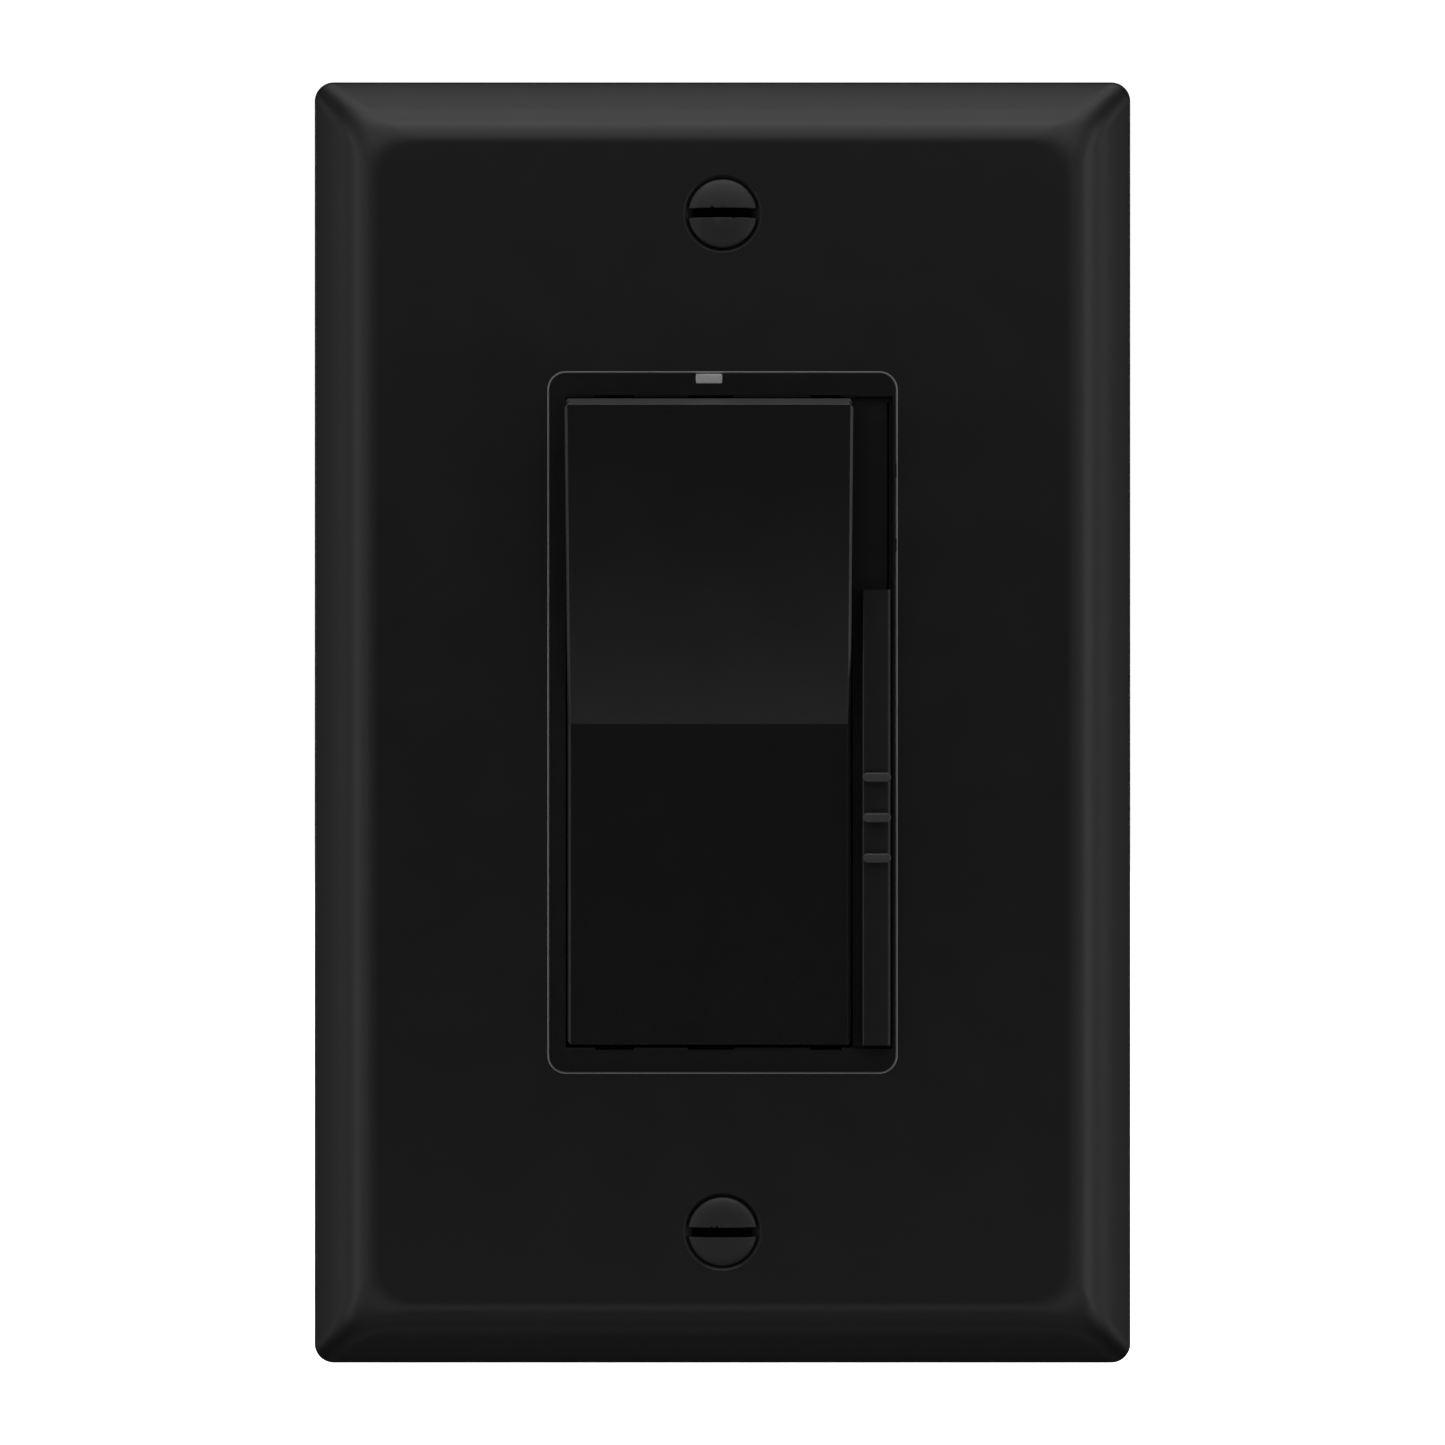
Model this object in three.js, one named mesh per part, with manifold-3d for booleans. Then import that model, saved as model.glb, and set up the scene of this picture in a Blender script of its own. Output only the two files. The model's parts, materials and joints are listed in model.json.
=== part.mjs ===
// Wall dimmer: a rocker paddle with a side slide, in a decorator opening of a mid-size wall plate.
// Millimetres. X is to the right seen from the front, Y goes into the wall, Z is up.
// The origin is on the wall's surface, midway between the two plate screws.

import * as THREE from 'three';
import { mergeVertices } from 'three/addons/utils/BufferGeometryUtils.js';
import Module from 'manifold-3d';

const wasm = await Module();
wasm.setup();

// ---------------------------------------------------------------- driving dimensions

const PLATE = { width: 79, height: 124, depth: 5.8, corner: 1.8, wall: 2.2, skin: 2.3 };
const BEVEL = { run: 6.5, shoulder: 4.3, rim: 0.6 };
const OPENING = { width: 33.3, height: 66.8, corner: 1.75, lip: 0.21 };
const PLATE_SCREW_SPACING = 96.84;
const BOX_SCREW_SPACING = 83.3;
const SCREW_RADIUS = 1.6;
const SCREW_CLEARANCE = 0.35;

const STRAP = {
  thickness: 1.6,
  height: 105.4,
  width: 44.4,
  body: 73,
  ear: 34,
  earHeight: 9,
  neck: 22,
  corner: 2,
  boxSlot: 8,
};

const FRAME = { width: 32.8, height: 66.3, corner: 1.5, face: 6.0 };
const FLANGE = { width: 37.4, height: 70.6, front: 3.3, back: 1.9, corner: 2 };
const RECESS = { left: -14.9, right: 12.4, half: 31.1 };
const CHANNEL = { floor: 5.55, right: 16.18, half: 31.0 };
const GUIDE_GROOVE = { left: 15.64, right: 15.87, half: 30.5, floor: 4.7 };

const ROCK_ANGLE = THREE.MathUtils.degToRad(11.2);
const HINGE_Y = -4.2;
const PADDLE = { left: -14.72, right: 12.19, end: 30.55, face: 2.15, back: 1.6, wall: 1.6, skin: 1.8 };
const PIVOT = { radius: 0.9, gap: 0.2, left: 1.3, right: 0.95 };

const SLIDE_TRAVEL = 18.3;
const SLIDE = { left: 13.23, right: 15.93, low: -30.55, high: 12.57, face: 7.2, back: 5.75 };
const RIDGE = { count: 3, height: 0.88, pitch: 3.82, face: 8.0, edge: 0.2, flat: 0.02 };

const HOUSING = { width: 44.4, height: 70.6, front: 0.3, back: 31, wall: 1.8, corner: 2.5 };
const COLUMN = { x: 17.9, z: 31, half: 2.6, hole: 1.3 };
const BOARD = { width: 39.6, height: 66, front: 10, back: 11.6, corner: 0.8, notch: 3.1 };
const TERMINAL = {
  y: 18,
  pocketFront: 13.5,
  pocketBack: 27,
  halfHeight: 6,
  floor: 17.2,
  block: 14.2,
  margin: 1.4,
  plateWidth: 6.6,
  plateHeight: 10,
  clampHeight: 7.4,
  hole: 2,
};

// ---------------------------------------------------------------- shapes and booleans

const WELD = 1e-4;

// How far a piece that is joined to another runs into it.
const BURY = 0.5;
const ROUND_SIDES = 20;
const SMALL_SIDES = 16;

function solid(geometry) {
  const bare = geometry.clone();
  bare.deleteAttribute('normal');
  bare.deleteAttribute('uv');
  const merged = mergeVertices(bare, WELD);
  const corners = merged.index.array;
  const triVerts = [];
  for (let i = 0; i < corners.length; i += 3) {
    const [a, b, c] = corners.slice(i, i + 3);
    if (a !== b && b !== c && c !== a) {
      triVerts.push(a, b, c);
    }
  }
  const vertProperties = Float32Array.from(merged.attributes.position.array);
  return new wasm.Manifold(
    new wasm.Mesh({ numProp: 3, vertProperties, triVerts: Uint32Array.from(triVerts) }),
  );
}

function geometryOf(body) {
  const { vertProperties, triVerts } = body.getMesh();
  const geometry = new THREE.BufferGeometry();
  geometry.setAttribute('position', new THREE.BufferAttribute(vertProperties, 3));
  geometry.setIndex(new THREE.BufferAttribute(triVerts, 1));
  geometry.computeVertexNormals();
  return geometry;
}

function join(first, ...rest) {
  return rest.reduce((whole, piece) => whole.add(piece), first);
}

function cut(first, ...rest) {
  return rest.reduce((whole, piece) => whole.subtract(piece), first);
}

// A rectangle with round corners, in X and Z.
function roundedRect(width, height, radius, centreX = 0, centreZ = 0) {
  const x = width / 2 - radius;
  const z = height / 2 - radius;
  const shape = new THREE.Shape();
  shape.absarc(centreX + x, centreZ + z, radius, 0, Math.PI / 2);
  shape.absarc(centreX - x, centreZ + z, radius, Math.PI / 2, Math.PI);
  shape.absarc(centreX - x, centreZ - z, radius, Math.PI, 1.5 * Math.PI);
  shape.absarc(centreX + x, centreZ - z, radius, 1.5 * Math.PI, 2 * Math.PI);
  return shape;
}

function rectangle(width, height, centreX, centreZ) {
  const x = width / 2;
  const z = height / 2;
  const ring = [[x, z], [-x, z], [-x, -z], [x, -z]];
  return new THREE.Shape(ring.map(([dx, dz]) => new THREE.Vector2(centreX + dx, centreZ + dz)));
}

function circle(radius, centreX = 0, centreZ = 0) {
  return roundedRect(2 * radius, 2 * radius, radius, centreX, centreZ);
}

// Adds a round hole to a shape.
function pierced(shape, radius, centreX = 0, centreZ = 0) {
  shape.holes.push(circle(radius, centreX, centreZ));
  return shape;
}

// A closed outline through the given points, listed anticlockwise, with every corner rounded.
function roundedPolygon(points, radius) {
  const shape = new THREE.Shape();
  const toward = ([x, z], [toX, toZ]) => {
    const step = radius / Math.hypot(toX - x, toZ - z);
    return [x + (toX - x) * step, z + (toZ - z) * step];
  };
  points.forEach((corner, i) => {
    const before = toward(corner, points.at(i - 1));
    const after = toward(corner, points[(i + 1) % points.length]);
    if (i === 0) {
      shape.moveTo(...before);
    } else {
      shape.lineTo(...before);
    }
    shape.quadraticCurveTo(...corner, ...after);
  });
  return shape;
}

// A shape drawn in X and Z, made solid from y = front to y = back. The bevel, if any, is outside the two.
function slab(shape, front, back, options = {}) {
  const settings = { depth: back - front, bevelEnabled: false, curveSegments: 3, ...options };
  const geometry = new THREE.ExtrudeGeometry(shape, settings);
  geometry.rotateX(Math.PI / 2);
  geometry.translate(0, back, 0);
  return solid(geometry);
}

// A shape drawn in Y and Z, made solid from x = left to x = right.
function crossSlab(points, left, right) {
  const shape = new THREE.Shape(points);
  const geometry = new THREE.ExtrudeGeometry(shape, { depth: right - left, bevelEnabled: false });
  const [x, y, z] = [0, 1, 2].map((axis) => new THREE.Vector3().setComponent(axis, 1));
  geometry.applyMatrix4(new THREE.Matrix4().makeBasis(y, z, x));
  geometry.translate(left, 0, 0);
  return solid(geometry);
}

function block(x0, x1, y0, y1, z0, z1) {
  const geometry = new THREE.BoxGeometry(x1 - x0, y1 - y0, z1 - z0);
  geometry.translate((x0 + x1) / 2, (y0 + y1) / 2, (z0 + z1) / 2);
  return solid(geometry);
}

// A round bar along Y.
function rod(radius, front, back, x = 0, z = 0, sides = ROUND_SIDES) {
  const geometry = new THREE.CylinderGeometry(radius, radius, back - front, sides);
  geometry.translate(x, (front + back) / 2, z);
  return solid(geometry);
}

// A round bar along X.
function crossRod(radius, left, right, y, z, sides = ROUND_SIDES) {
  const geometry = new THREE.CylinderGeometry(radius, radius, right - left, sides);
  geometry.rotateZ(Math.PI / 2);
  geometry.translate((left + right) / 2, y, z);
  return solid(geometry);
}

// A turned shape about Y, from [radius, y] points listed front to back.
function turned(points, sides = ROUND_SIDES) {
  return solid(new THREE.LatheGeometry(points.map(([r, y]) => new THREE.Vector2(r, y)), sides));
}

// ---------------------------------------------------------------- materials and naming

function finish(color, roughness, metalness = 0) {
  return { color, roughness, metalness };
}

const FINISH = {
  plate: finish(0x1b1b1b, 0.42),
  frame: finish(0x161616, 0.5),
  paddle: finish(0x191919, 0.38),
  slide: finish(0x1d1d1d, 0.45),
  lens: finish(0xd8d8d8, 0.2),
  blackScrew: finish(0x242424, 0.4, 0.5),
  strap: finish(0xb4b7ba, 0.35, 0.9),
  zinc: finish(0xa9adb0, 0.3, 0.9),
  green: finish(0x1f7a3a, 0.4, 0.6),
  fibre: finish(0xb59a6c, 0.9),
  housing: finish(0x2a2a2c, 0.6),
  board: finish(0x1d5a34, 0.5),
  potCase: finish(0x9a9da0, 0.35, 0.8),
  track: finish(0x2b211b, 0.7),
  nylon: finish(0xe6e2d6, 0.5),
  epoxy: finish(0x18181a, 0.45),
  ferrite: finish(0x3a3c3f, 0.8),
  copper: finish(0xb8642e, 0.3, 0.8),
  filmBox: finish(0xc9a227, 0.4),
  filmDip: finish(0x8c2f24, 0.4),
  sleeve: finish(0x1c2a4a, 0.35),
  fuse: finish(0xdedbd0, 0.4),
  resistor: finish(0xcfae7a, 0.5),
  diode: finish(0x9c3a2a, 0.3),
  led: finish(0xf4f4ee, 0.15),
  brass: finish(0xc39b4b, 0.3, 0.9),
  bronze: finish(0xb5733c, 0.3, 0.9),
  silver: finish(0xd9dadb, 0.2, 0.95),
  pad: finish(0xc8ccd0, 0.9),
};

const dimmer = new THREE.Group();

function place(name, look, body, parent = dimmer) {
  const mesh = new THREE.Mesh(geometryOf(body), new THREE.MeshStandardMaterial(FINISH[look]));
  mesh.name = name;
  parent.add(mesh);
  return mesh;
}

// ---------------------------------------------------------------- wall plate and its screws

// A slab whose four edges curve down to a thin rim, meeting at mitred corners.
function domedSlab({ width, height, depth, base, rim, shoulder, run }) {
  const section = (span) => {
    const half = span / 2;
    const shape = new THREE.Shape();
    shape.moveTo(-half, base);
    shape.lineTo(half, base);
    shape.lineTo(half, -rim);
    shape.quadraticCurveTo(half - shoulder, -depth, half - run, -depth);
    shape.lineTo(run - half, -depth);
    shape.quadraticCurveTo(shoulder - half, -depth, -half, -rim);
    return shape;
  };
  const extruded = (span, length) => {
    const settings = { depth: length, bevelEnabled: false, curveSegments: 9 };
    return new THREE.ExtrudeGeometry(section(span), settings).translate(0, 0, -length / 2);
  };
  const acrossX = solid(extruded(width, height));
  const acrossZ = solid(extruded(height, width).rotateY(Math.PI / 2));
  return acrossX.intersect(acrossZ);
}

const SCREW_HEAD = {
  radius: 3.27,
  sink: 0.15,
  edge: 0.12,
  dome: 0.65,
  cone: 1.67,
  slotWidth: 0.93,
  slotDepth: 0.8,
};
const COUNTERSINK = { mouth: 3.65, throat: SCREW_RADIUS + SCREW_CLEARANCE, depth: 1.75 };

// The plate's hollow back, and two short ribs that fill the opening's bevelled lip on its right-hand side.
const CAVITY = { base: 1, rim: 0.1, shoulder: 3.8, run: 5.6 };
const PLATE_RIB = { centres: [23.96, 16.88], height: 1.3, root: 0.5, setback: 0.02 };

function wallPlate() {
  const outer = domedSlab({ ...PLATE, ...BEVEL, base: 0 });
  const outline = slab(roundedRect(PLATE.width, PLATE.height, PLATE.corner), -PLATE.depth, 0);
  const hollow = domedSlab({
    width: PLATE.width - 2 * PLATE.wall,
    height: PLATE.height - 2 * PLATE.wall,
    depth: PLATE.depth - PLATE.skin,
    ...CAVITY,
  });
  const { lip } = OPENING;
  const openingWidth = OPENING.width - 2 * lip;
  const openingShape = roundedRect(openingWidth, OPENING.height - 2 * lip, OPENING.corner - lip);
  const opening = slab(openingShape, -PLATE.depth - 1, 0);
  const edge = slab(openingShape, -PLATE.depth - 1, -PLATE.depth, {
    bevelEnabled: true,
    bevelThickness: lip,
    bevelSize: lip,
    bevelSegments: 1,
  });
  const screwHoles = [1, -1].map((side) => {
    const front = -PLATE.depth;
    const hole = turned([
      [0, front - 1],
      [COUNTERSINK.mouth, front - 1],
      [COUNTERSINK.mouth, front],
      [COUNTERSINK.throat, front + COUNTERSINK.depth],
      [COUNTERSINK.throat, 0],
      [0, 0],
    ]);
    return hole.translate([0, 0, (side * PLATE_SCREW_SPACING) / 2]);
  });
  const shell = cut(outer.intersect(outline), hollow, opening, edge, ...screwHoles);
  const ribX = openingWidth / 2;
  const { centres, height, root, setback } = PLATE_RIB;
  const ribDepth = [setback - PLATE.depth, PLATE.skin - PLATE.depth];
  const ribs = centres.map((z) =>
    block(ribX, ribX + root, ...ribDepth, z - height / 2, z + height / 2),
  );
  return join(shell, ...ribs);
}

// An oval-head screw with its rim at y = 0, its slot across, and its shank along +Y.
function ovalScrew(length) {
  const { radius, edge, dome, cone, slotWidth, slotDepth } = SCREW_HEAD;
  const steps = 4;
  const domePoints = Array.from({ length: steps + 1 }, (_, i) => {
    const angle = ((i / steps) * Math.PI) / 2;
    return [radius * Math.sin(angle), -dome * Math.cos(angle)];
  });
  const body = turned([
    ...domePoints,
    [radius, edge],
    [SCREW_RADIUS, cone],
    [SCREW_RADIUS, length - 1],
    [SCREW_RADIUS * 0.6, length],
    [0, length],
  ]);
  const slotY = [-dome - 1, slotDepth - dome];
  return cut(body, block(-radius - 1, radius + 1, ...slotY, -slotWidth / 2, slotWidth / 2));
}

// A pan-head screw: seat at y = 0, head towards -Y, shank along +Y.
function panScrew({ headRadius, headHeight, shankRadius, length }) {
  const slotWidth = 0.9;
  const body = turned([
    [0, -headHeight],
    [headRadius * 0.75, -headHeight],
    [headRadius, -headHeight * 0.6],
    [headRadius, 0],
    [shankRadius, 0],
    [shankRadius, length - shankRadius * 0.5],
    [shankRadius * 0.6, length],
    [0, length],
  ]);
  const slotDepth = headHeight * 0.5;
  const slot = block(
    -headRadius - 1,
    headRadius + 1,
    -headHeight - 1,
    slotDepth - headHeight,
    -slotWidth / 2,
    slotWidth / 2,
  );
  return cut(body, slot);
}

// ---------------------------------------------------------------- mounting strap

const LEG_SLOT = { x: 10, width: 5, inner: 31.5, outer: 32.7, gap: 0.25 };
const TRIAC = { x: -9, z: 16, width: 10.2, length: 15.4, screwZ: 25, strapHole: 1.7, tabHole: 1.9 };
const LIGHT_PIPE = { left: -2.56, right: 0, low: 32.26, high: 33.12, gap: 0.6 };
const PADDLE_MIDDLE = (PADDLE.left + PADDLE.right) / 2;
const PADDLE_LEG = { halfWidth: 2.5, low: -9.2, high: -7.0, tip: 5.0 };
const PADDLE_LEG_HOLE = { width: 8, height: 7, z: -8.5 };
const SKIRT = { thickness: 1.2, back: 4.25, gap: 0.55 };
const STEM = { left: 14.2, right: 15.0, low: -11.2, high: -7.2 };

// A tab bent back from the strap's lower neck carries the ground screw. Its far edge stands a little proud.
const GROUND = { y: 4.8, z: -42, low: -46, high: -38, back: 9.6, lip: 1.4, lipRise: 0.2 };

function corners(x, z) {
  return [[-x, -z], [x, -z], [-x, z], [x, z]];
}

// A slot's outline, wide enough for the stem and as long as its travel, with the given gap all round.
function stemSlot(gap) {
  const low = STEM.low - gap;
  const high = STEM.high + SLIDE_TRAVEL + gap;
  const width = STEM.right - STEM.left + 2 * gap;
  return rectangle(width, high - low, (STEM.left + STEM.right) / 2, (low + high) / 2);
}

// The strap's outline: ears for the wall, a narrower neck, and a wide body that takes the heat away.
function strapOutline() {
  const { height, width, body, ear, earHeight, neck, corner } = STRAP;
  const [earX, neckX, bodyX] = [ear / 2, neck / 2, width / 2];
  const [top, shoulder, waist] = [height / 2, height / 2 - earHeight, body / 2];
  const upperRight = [[bodyX, waist], [neckX, waist], [neckX, shoulder], [earX, shoulder], [earX, top]];
  const lowerRight = upperRight.map(([x, z]) => [x, -z]).reverse();
  const right = [...lowerRight, ...upperRight];
  const left = right.map(([x, z]) => [-x, -z]);
  return roundedPolygon([...right, ...left], corner);
}

function groundTab() {
  const outside = STRAP.neck / 2;
  const inside = outside - STRAP.thickness;
  const { y, z, low, high, back, lip, lipRise } = GROUND;
  const tab = block(inside, outside, -STRAP.thickness / 2, back, low, high);
  const proudEdge = block(outside - BURY, outside + lipRise, back - lip, back, low, high);
  const hole = crossRod(SCREW_RADIUS + SCREW_CLEARANCE, inside - 1, outside + 1, y, z);
  return cut(join(tab, proudEdge), hole);
}

// Room for one of the skirts at the ends of the paddle.
function skirtSlot(side) {
  const width = PADDLE.right - PADDLE.left + 2 * SKIRT.gap;
  const height = SKIRT.thickness + 2 * SKIRT.gap;
  return rectangle(width, height, PADDLE_MIDDLE, side * (PADDLE.end - SKIRT.thickness / 2));
}

function mountingStrap() {
  const screwHole = SCREW_RADIUS + SCREW_CLEARANCE;
  const legHeight = LEG_SLOT.outer - LEG_SLOT.inner + 2 * LEG_SLOT.gap;
  const legWidth = LEG_SLOT.width + 2 * LEG_SLOT.gap;
  const legMiddle = (LEG_SLOT.inner + LEG_SLOT.outer) / 2;
  const holes = [
    ...[1, -1].map((side) => circle(screwHole, 0, (side * PLATE_SCREW_SPACING) / 2)),
    ...[1, -1].map((side) =>
      roundedRect(STRAP.boxSlot, 2 * screwHole, screwHole, 0, (side * BOX_SCREW_SPACING) / 2),
    ),
    ...corners(LEG_SLOT.x, legMiddle).map(([x, z]) => rectangle(legWidth, legHeight, x, z)),
    ...corners(COLUMN.x, COLUMN.z).map(([x, z]) => circle(COLUMN.hole, x, z)),
    rectangle(PADDLE_LEG_HOLE.width, PADDLE_LEG_HOLE.height, PADDLE_MIDDLE, PADDLE_LEG_HOLE.z),
    stemSlot(0.8),
    ...[1, -1].map((side) => skirtSlot(side)),
    rectangle(
      LIGHT_PIPE.right - LIGHT_PIPE.left + 2 * LIGHT_PIPE.gap,
      LIGHT_PIPE.high - LIGHT_PIPE.low + 2 * LIGHT_PIPE.gap,
      (LIGHT_PIPE.left + LIGHT_PIPE.right) / 2,
      (LIGHT_PIPE.low + LIGHT_PIPE.high) / 2,
    ),
    circle(TRIAC.strapHole, TRIAC.x, TRIAC.screwZ),
  ];
  const sheet = slab(strapOutline(), -STRAP.thickness, 0);
  return join(cut(sheet, ...holes.map((hole) => slab(hole, -STRAP.thickness - 1, 1))), groundTab());
}

const RETAINER = { width: 9, height: 8, corner: 1, front: 0.2, back: 0.8, gap: 0.2 };

function screwRetainer() {
  const { width, height, corner, front, back, gap } = RETAINER;
  return slab(pierced(roundedRect(width, height, corner), SCREW_RADIUS + gap), front, back);
}

// ---------------------------------------------------------------- front frame and light pipe

// The recess's end walls carry low ledges, with deep relief slots between them.
const LEDGES = [[RECESS.left, -12.1], [-8.4, -3.3], [1.05, 8.3], [11.3, RECESS.right]];
const LEDGE_REACH = 0.2;
const LEDGE_FACE = 5.2;
const LEG_HOOK = { end: 2.4, back: 1.6, reach: 33.3 };
const PIPE_NOTCH = { gap: 0.05, low: 32.2, high: 34 };
const PIVOT_HOLE_END = 13.4;

function frontFrame() {
  const bezelBack = (FLANGE.front + FLANGE.back) / -2;
  const bezel = slab(roundedRect(FRAME.width, FRAME.height, FRAME.corner), -FRAME.face, bezelBack);
  const flange = slab(roundedRect(FLANGE.width, FLANGE.height, FLANGE.corner), -FLANGE.front, -FLANGE.back);
  const legs = corners(LEG_SLOT.x, 1).flatMap(([x, side]) => {
    const across = [x - LEG_SLOT.width / 2, x + LEG_SLOT.width / 2];
    const span = (near, far) => [side * near, side * far].sort((a, b) => a - b);
    return [
      block(...across, -FLANGE.back - BURY, LEG_HOOK.end, ...span(LEG_SLOT.inner, LEG_SLOT.outer)),
      block(...across, LEG_SLOT.gap, LEG_HOOK.back, ...span(LEG_SLOT.inner, LEG_HOOK.reach)),
    ];
  });
  const through = [-FRAME.face - 1, 0];
  const recess = block(RECESS.left, RECESS.right, ...through, -RECESS.half, RECESS.half);
  const channelTop = [-FRAME.face - 1, -CHANNEL.floor];
  const channel = block(RECESS.right - BURY, CHANNEL.right, ...channelTop, -CHANNEL.half, CHANNEL.half);
  const slot = slab(stemSlot(0.2), ...through);
  const { left: grooveLeft, right: grooveRight, half: grooveHalf, floor: grooveFloor } = GUIDE_GROOVE;
  const groove = block(grooveLeft, grooveRight, -FRAME.face - 1, -grooveFloor, -grooveHalf, grooveHalf);
  const pivots = crossRod(PIVOT.radius + PIVOT.gap, -FLANGE.width, PIVOT_HOLE_END, HINGE_Y, 0);
  const pipeNotch = block(
    LIGHT_PIPE.left - PIPE_NOTCH.gap,
    LIGHT_PIPE.right + PIPE_NOTCH.gap,
    ...through,
    PIPE_NOTCH.low,
    PIPE_NOTCH.high,
  );
  const body = cut(join(bezel, flange), recess, channel, slot, groove, pivots, pipeNotch);
  const ledges = LEDGES.flatMap(([left, right]) =>
    [1, -1].map((side) => {
      const ends = [side * (RECESS.half - LEDGE_REACH), side * (RECESS.half + BURY)].sort((a, b) => a - b);
      return block(left, right, -LEDGE_FACE, bezelBack, ...ends);
    }),
  );
  return join(body, ...legs, ...ledges);
}

const PIPE_FOOT = { front: 0.4, back: 6.4, drop: 1.6 };

function lightPipe() {
  const { left, right, low, high } = LIGHT_PIPE;
  const bar = block(left, right, -FRAME.face, PIPE_FOOT.back, low, high);
  const foot = block(left, right, PIPE_FOOT.front, PIPE_FOOT.back, low - PIPE_FOOT.drop, high);
  return join(bar, foot);
}

// ---------------------------------------------------------------- paddle

// Mirrors a point of the lower half to the upper one and turns it about the hinge by the rocking angle.
function upperTwin([y, z]) {
  const cos = Math.cos(ROCK_ANGLE);
  const sin = Math.sin(ROCK_ANGLE);
  return [y * cos + z * sin, y * sin - z * cos];
}

// The V-shaped outline in Y and Z whose lower half has the given face, back and end.
function paddleOutline(face, back, end) {
  const lean = Math.tan(ROCK_ANGLE / 2);
  const lower = [[face, -end], [back, -end]];
  const upper = lower.map(upperTwin).reverse();
  const ring = [[face, face * lean], ...lower, [back, back * lean], ...upper];
  return ring.map(([y, z]) => new THREE.Vector2(y + HINGE_Y, z));
}

// The paddle's end walls run on backwards through the strap, so no gap opens beyond a raised end.
function paddleSkirts() {
  const { left, right, end, back } = PADDLE;
  const inner = SKIRT.thickness - end;
  const root = back - BURY;
  const lower = [[root, -end], [SKIRT.back, -end], [SKIRT.back, inner], [root, inner]];
  const upper = lower.map(upperTwin).reverse();
  return [lower, upper].map((ring) => {
    const outline = ring.map(([y, z]) => new THREE.Vector2(y + HINGE_Y, z));
    return crossSlab(outline, left, right);
  });
}

const SHAFT = { radius: 1.5, inset: 0.5 };
const PADDLE_RIB = { x: 7, half: 0.5, bury: 0.3, setback: 0.4, end: 1 };

function paddle() {
  const { left, right, end, face, back, wall, skin } = PADDLE;
  const outer = crossSlab(paddleOutline(-face, back, end), left, right);
  const hollow = crossSlab(paddleOutline(skin - face, back + 1, end - wall), left + wall, right - wall);
  const shaft = crossRod(SHAFT.radius, left + SHAFT.inset, right - SHAFT.inset, HINGE_Y, 0);
  const pins = crossRod(PIVOT.radius, left - PIVOT.left, right + PIVOT.right, HINGE_Y, 0);
  const { halfWidth, low, high, tip } = PADDLE_LEG;
  const leg = block(PADDLE_MIDDLE - halfWidth, PADDLE_MIDDLE + halfWidth, HINGE_Y - 1, tip, low, high);
  const { x: ribX, half, bury, setback, end: ribEnd } = PADDLE_RIB;
  const ribOutline = paddleOutline(skin - face - bury, back - setback, end - ribEnd);
  const ribs = [PADDLE_MIDDLE - ribX, PADDLE_MIDDLE + ribX].map((x) =>
    crossSlab(ribOutline, x - half, x + half),
  );
  return join(cut(outer, hollow), ...paddleSkirts(), shaft, pins, leg, ...ribs);
}

// ---------------------------------------------------------------- slide and potentiometer

const POT = { left: 10.4, right: 18.8, half: 17.5, front: 2.6, back: 9.7, wall: 0.6 };
const TRACK = { margin: 0.8, front: 8.6, back: 9.5 };
const LEVER = { low: -9.9, high: -8.5, front: -0.4, back: 6 };
const CARRIAGE = { margin: 1.4, front: 5, back: 7.2, half: 3.6 };
const WIPER = { offset: 2, half: 0.6, front: 7, back: 8.3, length: 2.4 };
const TINE = { back: 2.2, gap: 0.3 };

function slideBar() {
  const { left, right, low, high, face, back } = SLIDE;
  const middleX = (left + right) / 2;
  const middleZ = (low + high) / 2;
  const edge = 0.45;
  const corner = 0.15;
  const outline = roundedRect(right - left - 2 * edge, high - low - 2 * edge, corner, middleX, middleZ);
  const bar = slab(outline, edge - face, -back, {
    bevelEnabled: true,
    bevelThickness: edge,
    bevelSize: edge,
    bevelSegments: 3,
    curveSegments: 1,
  });
  const trimmed = cut(bar, block(left - 1, right + 1, -back, 0, low - 1, high + 1));
  const ridges = Array.from({ length: RIDGE.count }, (_, i) => {
    const z = middleZ + (i - (RIDGE.count - 1) / 2) * RIDGE.pitch;
    const width = right - left - 2 * RIDGE.edge;
    const height = RIDGE.height - 2 * RIDGE.edge;
    const pill = roundedRect(width, height, (height - RIDGE.flat) / 2, middleX, z);
    return slab(pill, RIDGE.edge - RIDGE.face, -back - BURY, {
      bevelEnabled: true,
      bevelThickness: RIDGE.edge,
      bevelSize: RIDGE.edge,
      bevelSegments: 2,
      curveSegments: 4,
    });
  });
  const bridge = block(STEM.left, STEM.right, -back - BURY, LEVER.front - TINE.gap, STEM.low, STEM.high);
  const tines = [
    [STEM.low, LEVER.low - TINE.gap],
    [LEVER.high + TINE.gap, STEM.high],
  ].map(([z0, z1]) => block(STEM.left, STEM.right, LEVER.front - 1, TINE.back, z0, z1));
  return join(trimmed, ...ridges, bridge, ...tines);
}

function potCase() {
  const { left, right, half, front, back, wall } = POT;
  const shell = block(left, right, front, back, -half, half);
  const inside = block(left + wall, right - wall, front + wall, back + 1, wall - half, half - wall);
  return cut(shell, inside, slab(stemSlot(0.3), front - 1, front + 2));
}

function potTrack() {
  const { margin, front, back } = TRACK;
  return block(POT.left + margin, POT.right - margin, front, back, margin - POT.half, POT.half - margin);
}

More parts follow.
